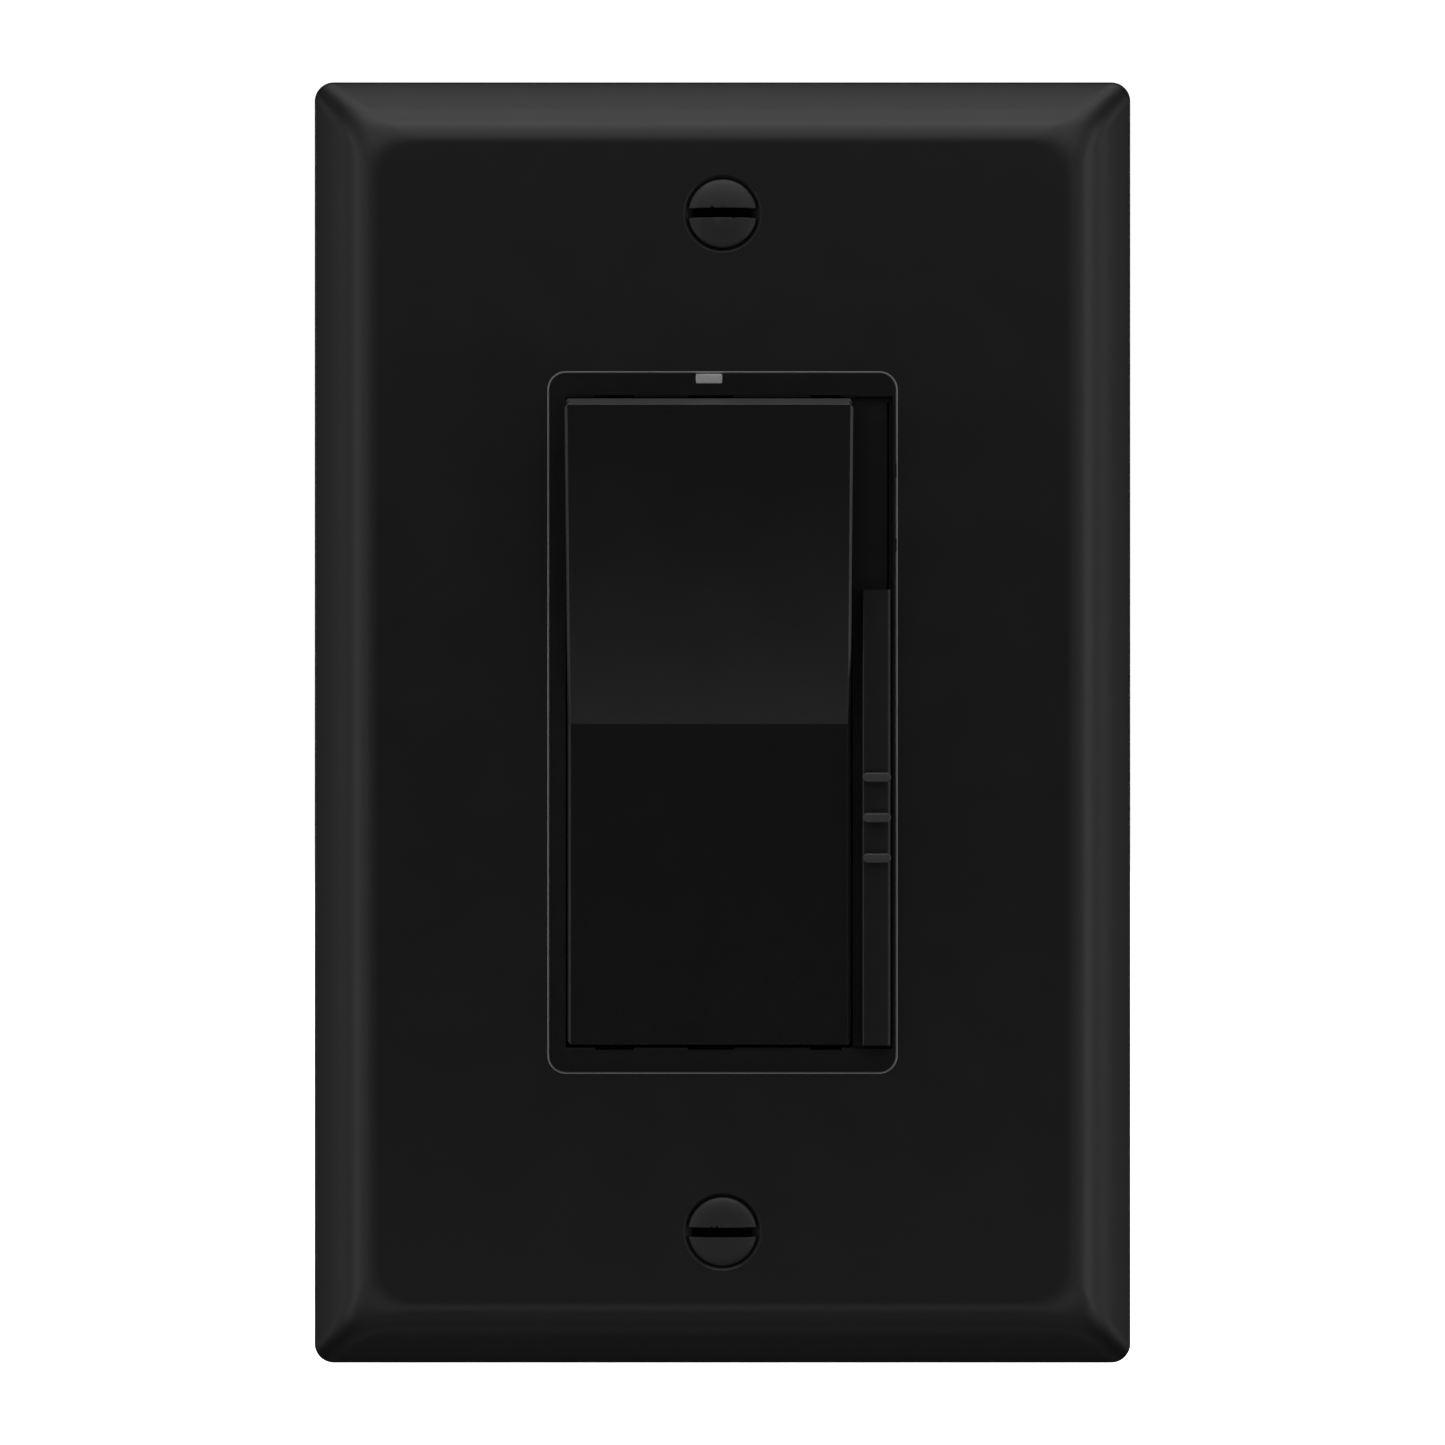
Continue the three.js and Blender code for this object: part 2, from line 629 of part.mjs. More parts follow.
function potLever() {
  const middle = (LEVER.low + LEVER.high) / 2;
  const gap = 0.05;
  const stalk = block(STEM.left + gap, STEM.right - gap, LEVER.front, LEVER.back, LEVER.low, LEVER.high);
  const { margin, half } = CARRIAGE;
  const carriage = block(
    POT.left + margin,
    POT.right - margin,
    CARRIAGE.front,
    CARRIAGE.back,
    middle - half,
    middle + half,
  );
  const wipers = [-1, 1].map((side) => {
    const x = (STEM.left + STEM.right) / 2 + side * WIPER.offset;
    const across = [x - WIPER.half, x + WIPER.half];
    return block(...across, WIPER.front, WIPER.back, middle - WIPER.length / 2, middle + WIPER.length / 2);
  });
  return join(stalk, carriage, ...wipers);
}

// ---------------------------------------------------------------- housing and terminals

const TERMINALS = [
  { name: 'line', side: -1, z: 14 },
  { name: 'traveller', side: -1, z: -14 },
  { name: 'load', side: 1, z: -14 },
];

// A block between two distances from the centre line, on the left or right side.
function sideBlock(side, near, far, y0, y1, z0, z1) {
  const [x0, x1] = [side * near, side * far].sort((a, b) => a - b);
  return block(x0, x1, y0, y1, z0, z1);
}

// The slots that let warm air out at the back, and the bores that take the housing screws.
const VENT = { count: 4, width: 14, height: 2, pitch: 6, middle: 20 };
const COLUMN_SCREW = { seat: 2, mouth: 2.8 };

function ventSlots() {
  const { count, width, height, pitch, middle } = VENT;
  const { back, wall } = HOUSING;
  return Array.from({ length: count }, (_, i) => {
    const z = middle + (i - (count - 1) / 2) * pitch;
    return block(-width / 2, width / 2, back - wall - 1, back + 1, z - height / 2, z + height / 2);
  });
}

function backHousing() {
  const { width, height, front, back, wall, corner } = HOUSING;
  const outer = slab(roundedRect(width, height, corner), front, back);
  const inner = slab(roundedRect(width - 2 * wall, height - 2 * wall, corner - 1), front - 1, back - wall);
  const columnDepth = [front + 0.5, back - 1];
  const columns = corners(COLUMN.x, COLUMN.z).map(([x, z]) =>
    block(x - COLUMN.half, x + COLUMN.half, ...columnDepth, z - COLUMN.half, z + COLUMN.half),
  );
  const inside = width / 2 - wall / 2;
  const { pocketFront, pocketBack, halfHeight, margin, floor, block: blockX, y } = TERMINAL;
  const blockHalf = halfHeight + margin;
  const blocks = TERMINALS.map(({ side, z }) =>
    sideBlock(side, blockX, inside, pocketFront - margin, back - 1, z - blockHalf, z + blockHalf),
  );
  const pockets = TERMINALS.map(({ side, z }) =>
    sideBlock(side, floor, width, pocketFront, pocketBack, z - halfHeight, z + halfHeight),
  );
  const screwHoles = TERMINALS.map(({ side, z }) => {
    const [x0, x1] = [side * (blockX - 1), side * width].sort((a, b) => a - b);
    return crossRod(TERMINAL.hole, x0, x1, y, z);
  });
  const columnHoles = corners(COLUMN.x, COLUMN.z).flatMap(([x, z]) => [
    rod(COLUMN.hole, front - 1, back + 1, x, z, SMALL_SIDES),
    rod(COLUMN_SCREW.mouth, back - COLUMN_SCREW.seat, back + 1, x, z),
  ]);
  const shell = join(cut(outer, inner), ...columns, ...blocks);
  return cut(shell, ...pockets, ...screwHoles, ...columnHoles, ...ventSlots());
}

// Distances of a terminal's faces from the centre line, and the low ribs at the ends of its brass
// plate, which keep the clamp plate from turning.
const TERMINAL_PLATE = { near: 17.5, far: 18.4, corner: 0.6, rib: 1.1, ribFar: 18.7, inset: 0.05 };
const TERMINAL_CLAMP = { near: 19, far: 20, width: 6.4, corner: 0.8 };
const TERMINAL_SCREW = { headRadius: 3, headHeight: 1.7, shankRadius: 1.7, length: 6 };
const TERMINAL_SCREW_SEAT = 20.2;

// One screw terminal: brass plate, clamp plate and screw, drawn facing -Y and turned to face sideways.
function addTerminal({ name, side, z }) {
  const group = new THREE.Group();
  group.rotation.z = (side * Math.PI) / 2;
  group.position.set(0, TERMINAL.y, z);
  dimmer.add(group);
  const { plateWidth, plateHeight, clampHeight, hole } = TERMINAL;
  const { near, far, corner, rib, ribFar, inset } = TERMINAL_PLATE;
  const sheet = slab(pierced(roundedRect(plateWidth, plateHeight, corner), hole), -far, -near);
  const ribs = [1, -1].map((end) => {
    const middle = end * ((plateHeight - rib) / 2 - inset);
    return slab(rectangle(plateWidth - 2 * corner, rib, 0, middle), -ribFar, -(near + far) / 2);
  });
  const clampShape = roundedRect(TERMINAL_CLAMP.width, clampHeight, TERMINAL_CLAMP.corner);
  const clamp = slab(pierced(clampShape, hole), -TERMINAL_CLAMP.far, -TERMINAL_CLAMP.near);
  const screw = panScrew(TERMINAL_SCREW).translate([0, -TERMINAL_SCREW_SEAT, 0]);
  place(`terminal_plate_${name}`, 'brass', join(sheet, ...ribs), group);
  place(`terminal_clamp_${name}`, 'zinc', clamp, group);
  place(`terminal_screw_${name}`, 'brass', screw, group);
}

// ---------------------------------------------------------------- circuit board and its parts

function circuitBoard() {
  const { width, height, front, back, corner, notch } = BOARD;
  const sheet = slab(roundedRect(width, height, corner), front, back);
  const notches = corners(COLUMN.x, COLUMN.z).map(([x, z]) =>
    block(x - notch, x + notch, front - 1, back + 1, z - notch, z + notch),
  );
  return cut(sheet, ...notches);
}

const BEHIND_BOARD = BOARD.back + 0.2;

// The power switch: a metal tab against the strap, a moulded body on it, and three legs to the board.
const TRIAC_TAB = { front: 0.5, back: 1.8, rise: 4.5, corner: 0.4 };
const TRIAC_BODY = { front: 0.9, back: 5, below: 3.2, above: 5.6 };
const TRIAC_LEG = { pitch: 2.54, half: 0.4, front: 2.6, thickness: 0.5, end: 9.8, bend: 6.9 };
const THERMAL_PAD = { front: 0.1, back: 0.4, margin: 0.8 };

function triac() {
  const { x, z, width, length, screwZ, tabHole } = TRIAC;
  const half = width / 2;
  const tabShape = roundedRect(width, length, TRIAC_TAB.corner, x, z + TRIAC_TAB.rise);
  const tab = slab(pierced(tabShape, tabHole, x, screwZ), TRIAC_TAB.front, TRIAC_TAB.back);
  const { front, back, below, above } = TRIAC_BODY;
  const body = block(x - half, x + half, front, back, z - below, z + above);
  const legs = [-1, 0, 1].flatMap((step) => {
    const middle = x + step * TRIAC_LEG.pitch;
    const across = [middle - TRIAC_LEG.half, middle + TRIAC_LEG.half];
    const { front: legFront, thickness, end, bend } = TRIAC_LEG;
    return [
      block(...across, legFront, legFront + thickness, z - bend, z - below + BURY),
      block(...across, legFront, end, z - bend, z - bend + thickness),
    ];
  });
  return join(tab, body, ...legs);
}

function thermalPad() {
  const { front, back, margin } = THERMAL_PAD;
  const [width, length] = [TRIAC.width + 2 * margin, TRIAC.length + 2 * margin];
  const sheet = roundedRect(width, length, TRIAC_TAB.corner, TRIAC.x, TRIAC.z + TRIAC_TAB.rise);
  return slab(pierced(sheet, TRIAC.tabHole, TRIAC.x, TRIAC.screwZ), front, back);
}

// A drum core: two flanges on a spindle, along Y.
const CHOKE = { x: 1.5, z: -19, front: BEHIND_BOARD, length: 15, flange: 9, spindle: 3.6, lip: 1.6 };
const WINDING = { turns: 7, radius: 7.4, groove: 0.4, gap: 0.2 };

function chokeCore() {
  const { front, length, flange, spindle, lip } = CHOKE;
  return turned([
    [0, front],
    [flange, front],
    [flange, front + lip],
    [spindle, front + lip],
    [spindle, front + length - lip],
    [flange, front + length - lip],
    [flange, front + length],
    [0, front + length],
  ]).translate([CHOKE.x, 0, CHOKE.z]);
}

function chokeWinding() {
  const { front, length, spindle, lip } = CHOKE;
  const { turns, radius, groove, gap } = WINDING;
  const start = front + lip + gap;
  const end = front + length - lip - gap;
  const pitch = (end - start) / turns;
  const inner = spindle + gap;
  const ridge = Array.from({ length: turns }, (_, i) => [
    [radius - groove, start + i * pitch],
    [radius, start + (i + 0.3) * pitch],
    [radius, start + (i + 0.7) * pitch],
  ]).flat();
  const profile = [[inner, start], ...ridge, [radius - groove, end], [inner, end], [inner, start]];
  return turned(profile).translate([CHOKE.x, 0, CHOKE.z]);
}

function boxCapacitor({ width, height, depth, x, z }) {
  const edge = 0.5;
  const corner = 0.3;
  const outline = roundedRect(width - 2 * edge, height - 2 * edge, corner, x, z);
  return slab(outline, BEHIND_BOARD + edge, BEHIND_BOARD + depth - edge, {
    bevelEnabled: true,
    bevelThickness: edge,
    bevelSize: edge,
    bevelSegments: 2,
    curveSegments: 2,
  });
}

// A round can with rounded ends and a crimped groove near its foot.
const CAN = { x: 8, z: 26, radius: 4, length: 12, edge: 0.4, crimp: 1.7, crimpHalf: 0.5, crimpDepth: 0.35 };

function electrolytic() {
  const { x, z, radius, length, edge, crimp, crimpHalf, crimpDepth } = CAN;
  const front = BEHIND_BOARD;
  const back = front + length;
  return turned([
    [0, front],
    [radius - edge, front],
    [radius, front + edge],
    [radius, front + crimp - crimpHalf],
    [radius - crimpDepth, front + crimp],
    [radius, front + crimp + crimpHalf],
    [radius, back - edge],
    [radius - edge, back],
    [0, back],
  ]).translate([x, 0, z]);
}

// A part with leads at both ends, lying across the board along X.
const LEAD = { radius: 0.35, reach: 1.6, sides: 8, flat: 0.3 };
const END_CAP = { inward: 0.9, outward: 0.1, rise: 0.25 };

function axialPart({ length, radius, x, z }) {
  const half = length / 2;
  const y = BEHIND_BOARD + radius + END_CAP.rise;
  const reach = half + LEAD.reach;
  const body = crossRod(radius, x - half, x + half, y, z, SMALL_SIDES);
  const caps = [1, -1].map((side) => {
    const ends = [x + side * (half - END_CAP.inward), x + side * (half + END_CAP.outward)];
    return crossRod(radius + END_CAP.rise, Math.min(...ends), Math.max(...ends), y, z, SMALL_SIDES);
  });
  const wire = crossRod(LEAD.radius, x - reach, x + reach, y, z, LEAD.sides);
  const feet = [x - reach, x + reach].map((end) =>
    block(end - LEAD.radius, end + LEAD.radius, BEHIND_BOARD, y + LEAD.flat, z - LEAD.flat, z + LEAD.flat),
  );
  return join(body, ...caps, wire, ...feet);
}

const LED = { tip: 6.9, foot: 9.8, radius: 1.25, collar: 1.5, collarDepth: 0.6, z: 31.3 };

function indicatorLed() {
  const { tip, foot, radius, collar, collarDepth, z } = LED;
  const steps = 3;
  const dome = Array.from({ length: steps + 1 }, (_, i) => {
    const angle = ((i / steps) * Math.PI) / 2;
    return [radius * Math.sin(angle), tip + radius * (1 - Math.cos(angle))];
  });
  const base = [[radius, foot - collarDepth], [collar, foot - collarDepth], [collar, foot], [0, foot]];
  return turned([...dome, ...base]).translate([(LIGHT_PIPE.left + LIGHT_PIPE.right) / 2, 0, z]);
}

// ---------------------------------------------------------------- switch contacts

const CONTACT = { hingeY: 5.6, hingeZ: -24, left: -3.3, right: 0.7, tipZ: -3.7 };
const LEAF = { front: 5.35, back: 5.8, roll: 0.9 };
const BUTTON = { z: -5, front: 4.6, back: 5.25, radius: 1.2, edge: 0.3 };
const POST = { back: 9.8, foot: 1.6, footHalf: 2.6, margin: 0.6, seat: 1.15 };
const SADDLE = { front: 6, half: 1.9 };
const FIXED = { front: 1.3, back: 9.8, thickness: 0.6, low: -6.3, high: -2.5 };

// A springy leaf whose rolled root turns in the post.
function contactArm() {
  const { hingeY, hingeZ, left, right, tipZ } = CONTACT;
  const leaf = block(left, right, LEAF.front, LEAF.back, hingeZ, tipZ);
  return join(leaf, crossRod(LEAF.roll, left, right, hingeY, hingeZ, SMALL_SIDES));
}

function movingContact() {
  const { z, front, back, radius, edge } = BUTTON;
  const profile = [[0, front], [radius - edge, front], [radius, front + edge], [radius, back], [0, back]];
  return turned(profile).translate([(CONTACT.left + CONTACT.right) / 2, 0, z]);
}

function contactPost() {
  const { left, right, hingeY, hingeZ } = CONTACT;
  const { back, foot, footHalf, margin, seat } = POST;
  const base = block(left - margin, right + margin, back - foot, back, hingeZ - footHalf, hingeZ + footHalf);
  const across = [left + margin, right - margin];
  const saddleDepth = [SADDLE.front, back - foot / 2];
  const saddle = block(...across, ...saddleDepth, hingeZ - SADDLE.half, hingeZ + SADDLE.half);
  return cut(join(base, saddle), crossRod(seat, left - 2, right + 2, hingeY, hingeZ, SMALL_SIDES));
}

function fixedContact() {
  const { left, right } = CONTACT;
  const { front, back, thickness, low, high } = FIXED;
  const head = block(left, right, front, front + thickness, low, high);
  const upright = block(left, right, front, back, high - thickness, high);
  return join(head, upright);
}

// ---------------------------------------------------------------- assembly

const SEAT_GAP = 0.15;
const PLATE_SCREW_LENGTH = 14;
const SIX_THIRTY_TWO = { headRadius: 3, headHeight: 1.5, shankRadius: SCREW_RADIUS };
const HOUSING_SCREW = { headRadius: 2.4, headHeight: 1.4, shankRadius: 1, length: 30 };
const TRIAC_SCREW = { headRadius: 2.7, headHeight: 1.5, shankRadius: 1.35, length: 3.2 };

place('wall_plate', 'plate', wallPlate());
for (const [name, side] of [['top', 1], ['bottom', -1]]) {
  const plateScrew = place(`plate_screw_${name}`, 'blackScrew', ovalScrew(PLATE_SCREW_LENGTH));
  plateScrew.position.set(0, SCREW_HEAD.sink - PLATE.depth, (side * PLATE_SCREW_SPACING) / 2);
  const boxScrew = place(`box_screw_${name}`, 'zinc', panScrew({ ...SIX_THIRTY_TWO, length: 20 }));
  boxScrew.position.set(0, -STRAP.thickness - SEAT_GAP, (side * BOX_SCREW_SPACING) / 2);
  const retainer = place(`screw_retainer_${name}`, 'fibre', screwRetainer());
  retainer.position.z = (side * BOX_SCREW_SPACING) / 2;
}
place('mounting_strap', 'strap', mountingStrap());
const groundScrew = place('ground_screw', 'green', panScrew({ ...SIX_THIRTY_TWO, length: 6 }));
groundScrew.rotation.z = Math.PI / 2;
groundScrew.position.set(STRAP.neck / 2 + SEAT_GAP, GROUND.y, GROUND.z);

place('front_frame', 'frame', frontFrame());
place('light_pipe', 'lens', lightPipe());
place('paddle', 'paddle', paddle());
place('slide_bar', 'slide', slideBar());
place('pot_lever', 'nylon', potLever());
place('pot_case', 'potCase', potCase());
place('pot_track', 'track', potTrack());

place('back_housing', 'housing', backHousing());
corners(COLUMN.x, COLUMN.z).forEach(([x, z], i) => {
  const screw = place(`housing_screw_${i + 1}`, 'zinc', panScrew(HOUSING_SCREW));
  screw.rotation.x = Math.PI;
  screw.position.set(x, HOUSING.back - COLUMN_SCREW.seat + SEAT_GAP, z);
});
TERMINALS.forEach(addTerminal);

place('circuit_board', 'board', circuitBoard());
place('triac', 'epoxy', triac());
place('thermal_pad', 'pad', thermalPad());
const triacScrew = place('triac_screw', 'zinc', panScrew(TRIAC_SCREW));
triacScrew.rotation.x = Math.PI;
triacScrew.position.set(TRIAC.x, TRIAC_TAB.back + SEAT_GAP, TRIAC.screwZ);
place('choke_core', 'ferrite', chokeCore());
place('choke_winding', 'copper', chokeWinding());
const largeCapacitor = { width: 22, height: 8, depth: 14, x: -1.5, z: 5 };
const smallCapacitor = { width: 13, height: 6, depth: 11, x: 3, z: 16 };
place('film_capacitor_large', 'filmBox', boxCapacitor(largeCapacitor));
place('film_capacitor_small', 'filmDip', boxCapacitor(smallCapacitor));
place('electrolytic_capacitor', 'sleeve', electrolytic());
place('thermal_fuse', 'fuse', axialPart({ length: 9, radius: 1.9, x: -6.5, z: 29.5 }));
place('gate_resistor', 'resistor', axialPart({ length: 6, radius: 1.1, x: -8.5, z: 24 }));
place('dropper_resistor', 'resistor', axialPart({ length: 8, radius: 1.5, x: -1, z: -3.5 }));
place('diac', 'diode', axialPart({ length: 4, radius: 0.9, x: -9, z: 19.5 }));
place('indicator_led', 'led', indicatorLed());
place('contact_post', 'nylon', contactPost());
place('contact_arm', 'bronze', contactArm());
place('moving_contact', 'silver', movingContact());
place('fixed_contact', 'bronze', fixedContact());

export default dimmer;
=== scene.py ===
"""Looks of a black wall dimmer: a rocker paddle and a side slide in a bevelled mid-size wall plate.

Metres. X is to the right seen from the front, Y goes into the wall, Z is up.
"""

import json
import math

import bmesh
import bpy
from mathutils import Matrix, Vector


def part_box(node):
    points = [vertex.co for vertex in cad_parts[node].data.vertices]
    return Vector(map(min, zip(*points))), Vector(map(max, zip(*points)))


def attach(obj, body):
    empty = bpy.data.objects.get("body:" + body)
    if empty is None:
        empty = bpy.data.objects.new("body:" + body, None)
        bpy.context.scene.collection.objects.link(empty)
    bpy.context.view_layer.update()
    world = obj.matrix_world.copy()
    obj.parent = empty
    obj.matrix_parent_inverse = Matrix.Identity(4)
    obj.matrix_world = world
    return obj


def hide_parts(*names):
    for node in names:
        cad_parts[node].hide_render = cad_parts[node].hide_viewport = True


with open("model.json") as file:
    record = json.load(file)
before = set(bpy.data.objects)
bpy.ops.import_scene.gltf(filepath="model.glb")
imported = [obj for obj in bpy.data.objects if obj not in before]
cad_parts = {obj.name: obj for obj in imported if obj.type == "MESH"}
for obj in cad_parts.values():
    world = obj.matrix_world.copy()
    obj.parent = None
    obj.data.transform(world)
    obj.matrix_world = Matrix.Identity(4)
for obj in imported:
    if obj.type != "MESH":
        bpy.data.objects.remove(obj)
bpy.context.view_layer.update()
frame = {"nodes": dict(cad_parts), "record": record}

MM = 0.001

# ---------------------------------------------------------------- mesh tools

ROUND_SIDES = 64
ROD_SIDES = 32
MERGE_DISTANCE = 0.002 * MM
FLAT_DEGREES = 0.5


def finish_mesh(name, bm, sharp_degrees=35):
    """Turns a bmesh into an object with smooth faces and sharp edges past an angle."""
    bmesh.ops.recalc_face_normals(bm, faces=bm.faces)
    mesh = bpy.data.meshes.new(name)
    bm.to_mesh(mesh)
    bm.free()
    mesh.shade_smooth()
    mesh.set_sharp_from_angle(angle=math.radians(sharp_degrees))
    obj = bpy.data.objects.new(name, mesh)
    bpy.context.scene.collection.objects.link(obj)
    return obj


def rounded_ring(width, height, radius, centre=(0, 0), steps=8):
    """Points in X and Z round a rectangle with round corners, anticlockwise."""
    points = []
    for turn, (side_x, side_z) in enumerate(((1, 1), (-1, 1), (-1, -1), (1, -1))):
        corner_x = centre[0] + side_x * (width / 2 - radius)
        corner_z = centre[1] + side_z * (height / 2 - radius)
        for step in range(steps + 1):
            angle = (turn + step / steps) * math.pi / 2
            points.append((corner_x + radius * math.cos(angle), corner_z + radius * math.sin(angle)))
    return points


def add_ring(bm, points, y):
    """Vertices at the given points in X and Z, all at one depth."""
    return [bm.verts.new((x, y, z)) for x, z in points]


def skin(bm, ring_a, ring_b):
    """Quads between two rings of the same length."""
    count = len(ring_a)
    for i in range(count):
        j = (i + 1) % count
        bm.faces.new((ring_a[i], ring_a[j], ring_b[j], ring_b[i]))


def skin_all(bm, rings):
    """Joins each ring to the next one."""
    for ring_a, ring_b in zip(rings, rings[1:]):
        skin(bm, ring_a, ring_b)


def fill_between(bm, *rings):
    """Fills the flat area inside the first ring and outside the others."""
    edges = []
    for ring in rings:
        for i, vert in enumerate(ring):
            other = ring[(i + 1) % len(ring)]
            edges.append(bm.edges.get((vert, other)) or bm.edges.new((vert, other)))
    bmesh.ops.triangle_fill(bm, use_beauty=True, edges=edges)


def prism(name, points, front, back):
    """A flat outline in X and Z, made solid from y = front to y = back."""
    bm = bmesh.new()
    rings = [add_ring(bm, points, front), add_ring(bm, points, back)]
    skin_all(bm, rings)
    bm.faces.new(rings[0])
    bm.faces.new(rings[1])
    return finish_mesh(name, bm)


def block(name, x, y, z):
    """A box between the low and high values of each axis."""
    ring = [(x[0], z[0]), (x[1], z[0]), (x[1], z[1]), (x[0], z[1])]
    return prism(name, ring, *y)


def cross_prism(name, points, left, right):
    """An outline in Y and Z, made solid from x = left to x = right."""
    bm = bmesh.new()
    rings = [[bm.verts.new((x, y, z)) for y, z in points] for x in (left, right)]
    skin_all(bm, rings)
    bm.faces.new(rings[0])
    bm.faces.new(rings[1])
    return finish_mesh(name, bm)


def turned(name, profile, centre):
    """A shape turned about Y from (radius, y) points, closed at both ends."""
    bm = bmesh.new()
    rings = []
    for radius, y in profile:
        ring = [(radius * math.cos(a), radius * math.sin(a)) for a in turns(ROUND_SIDES)]
        rings.append(add_ring(bm, ring, y))
    skin_all(bm, rings)
    bm.faces.new(rings[0])
    bm.faces.new(rings[-1])
    bmesh.ops.translate(bm, vec=centre, verts=bm.verts)
    return finish_mesh(name, bm)


def turns(count):
    """Evenly spaced angles round a full turn."""
    return [2 * math.pi * i / count for i in range(count)]


def cross_rod(name, radius, left, right, y, z):
    """A round bar along X."""
    ring = [(y + radius * math.cos(a), z + radius * math.sin(a)) for a in turns(ROD_SIDES)]
    return cross_prism(name, ring, left, right)


def bake(obj):
    """Applies the object's modifiers to its mesh."""
    depsgraph = bpy.context.evaluated_depsgraph_get()
    mesh = bpy.data.meshes.new_from_object(obj.evaluated_get(depsgraph))
    obj.modifiers.clear()
    obj.data = mesh


def combine(obj, others, operation):
    """Joins the others to the object or cuts them out of it, and deletes them."""
    for other in others:
        modifier = obj.modifiers.new("combine", "BOOLEAN")
        modifier.operation = operation
        modifier.solver = "EXACT"
        modifier.object = other
        bpy.context.view_layer.update()
        bake(obj)
        bpy.data.objects.remove(other)


def cut(obj, *others):
    """Takes the others out of the object."""
    combine(obj, others, "DIFFERENCE")


def join(obj, *others):
    """Merges the others into the object."""
    combine(obj, others, "UNION")


def soften(obj, width, segments=2, degrees=40):
    """Rounds every edge sharper than the angle, and keeps flat faces looking flat."""
    weld = obj.modifiers.new("weld", "WELD")
    weld.merge_threshold = MERGE_DISTANCE
    flatten = obj.modifiers.new("flatten", "DECIMATE")
    flatten.decimate_type = "DISSOLVE"
    flatten.angle_limit = math.radians(FLAT_DEGREES)
    bevel = obj.modifiers.new("edges", "BEVEL")
    bevel.width = width
    bevel.segments = segments
    bevel.limit_method = "ANGLE"
    bevel.angle_limit = math.radians(degrees)
    bevel.use_clamp_overlap = True
    normals = obj.modifiers.new("normals", "WEIGHTED_NORMAL")
    normals.keep_sharp = False


# ---------------------------------------------------------------- materials

# A mix node's two colour inputs and its colour output, by their place in its lists of sockets.
MIX_COLOR_A = 6
MIX_COLOR_B = 7
MIX_COLOR_OUT = 2

TINT_SPREAD = 0.03
DULL_SPREAD = 0.015
RUBBED_AND_HIGHLIT_TINT = 2.2
STREAK_SIZE = 0.4 * MM
STREAK_RELIEF = 0.002 * MM


class Graph:
    """A material's nodes, made one call at a time."""

    def __init__(self, name):
        self.material = bpy.data.materials.new(name)
        self.material.use_nodes = True
        self.nodes = self.material.node_tree.nodes
        self.links = self.material.node_tree.links
        self.shader = self.nodes["Principled BSDF"]
        self.place = self.nodes.new("ShaderNodeTexCoord").outputs["Object"]

    def link(self, source, target):
        """Joins an output to an input."""
        self.links.new(source, target)

    def stretched(self, scale):
        """The place on the object, scaled along each axis."""
        mapping = self.nodes.new("ShaderNodeMapping")
        mapping.inputs["Scale"].default_value = scale
        self.link(self.place, mapping.inputs["Vector"])
        return mapping.outputs["Vector"]

    def noise(self, size, detail=3.0, vector=None, roughness=0.55):
        """Noise with blotches about the given size across, from 0 to 1."""
        texture = self.nodes.new("ShaderNodeTexNoise")
        texture.inputs["Scale"].default_value = 1 / size
        texture.inputs["Detail"].default_value = detail
        texture.inputs["Roughness"].default_value = roughness
        self.link(vector or self.place, texture.inputs["Vector"])
        return texture.outputs["Fac"]

    def ramp(self, value, low, high, low_in=0.3, high_in=0.7):
        """The value, clamped and carried from one range to another."""
        node = self.nodes.new("ShaderNodeMapRange")
        node.inputs["From Min"].default_value = low_in
        node.inputs["From Max"].default_value = high_in
        node.inputs["To Min"].default_value = low
        node.inputs["To Max"].default_value = high
        self.link(value, node.inputs["Value"])
        return node.outputs["Result"]

    def mix(self, factor, color_a, color_b):
        """One colour fading into another, each of them fixed or from an output."""
        node = self.nodes.new("ShaderNodeMix")
        node.data_type = "RGBA"
        self.link(factor, node.inputs["Factor"])
        for place, color in ((MIX_COLOR_A, color_a), (MIX_COLOR_B, color_b)):
            socket = node.inputs[place]
            if isinstance(color, bpy.types.NodeSocket):
                self.link(color, socket)
            else:
                socket.default_value = (*color, 1)
        return node.outputs[MIX_COLOR_OUT]

    def rubbed_and_highlit_edges(self, strength=1.0):
        """About 1 on outer edges and 0 elsewhere, broken up by noise."""
        geometry = self.nodes.new("ShaderNodeNewGeometry")
        edge = self.ramp(geometry.outputs["Pointiness"], 0, strength, 0.53, 0.62)
        patchy = self.ramp(self.noise(2 * MM), 0.2, 1, 0.35, 0.65)
        product = self.nodes.new("ShaderNodeMath")
        product.operation = "MULTIPLY"
        self.link(edge, product.inputs[0])
        self.link(patchy, product.inputs[1])
        return product.outputs["Value"]

    def bump(self, height, distance, strength=1.0):
        """Relief of the given depth on the surface."""
        node = self.nodes.new("ShaderNodeBump")
        node.inputs["Distance"].default_value = distance
        node.inputs["Strength"].default_value = strength
        self.link(height, node.inputs["Height"])
        self.link(node.outputs["Normal"], self.shader.inputs["Normal"])

    def set(self, **values):
        """Fixed values for the shader's inputs, with underscores for the spaces in their names."""
        for name, value in values.items():
            self.shader.inputs[name.replace("_", " ")].default_value = value


def grey(level):
    """A colour with the same value in every channel."""
    return (level, level, level)


def tinted(color, factor):
    """The colour made lighter or darker by a factor."""
    return tuple(min(1.0, channel * factor) for channel in color)


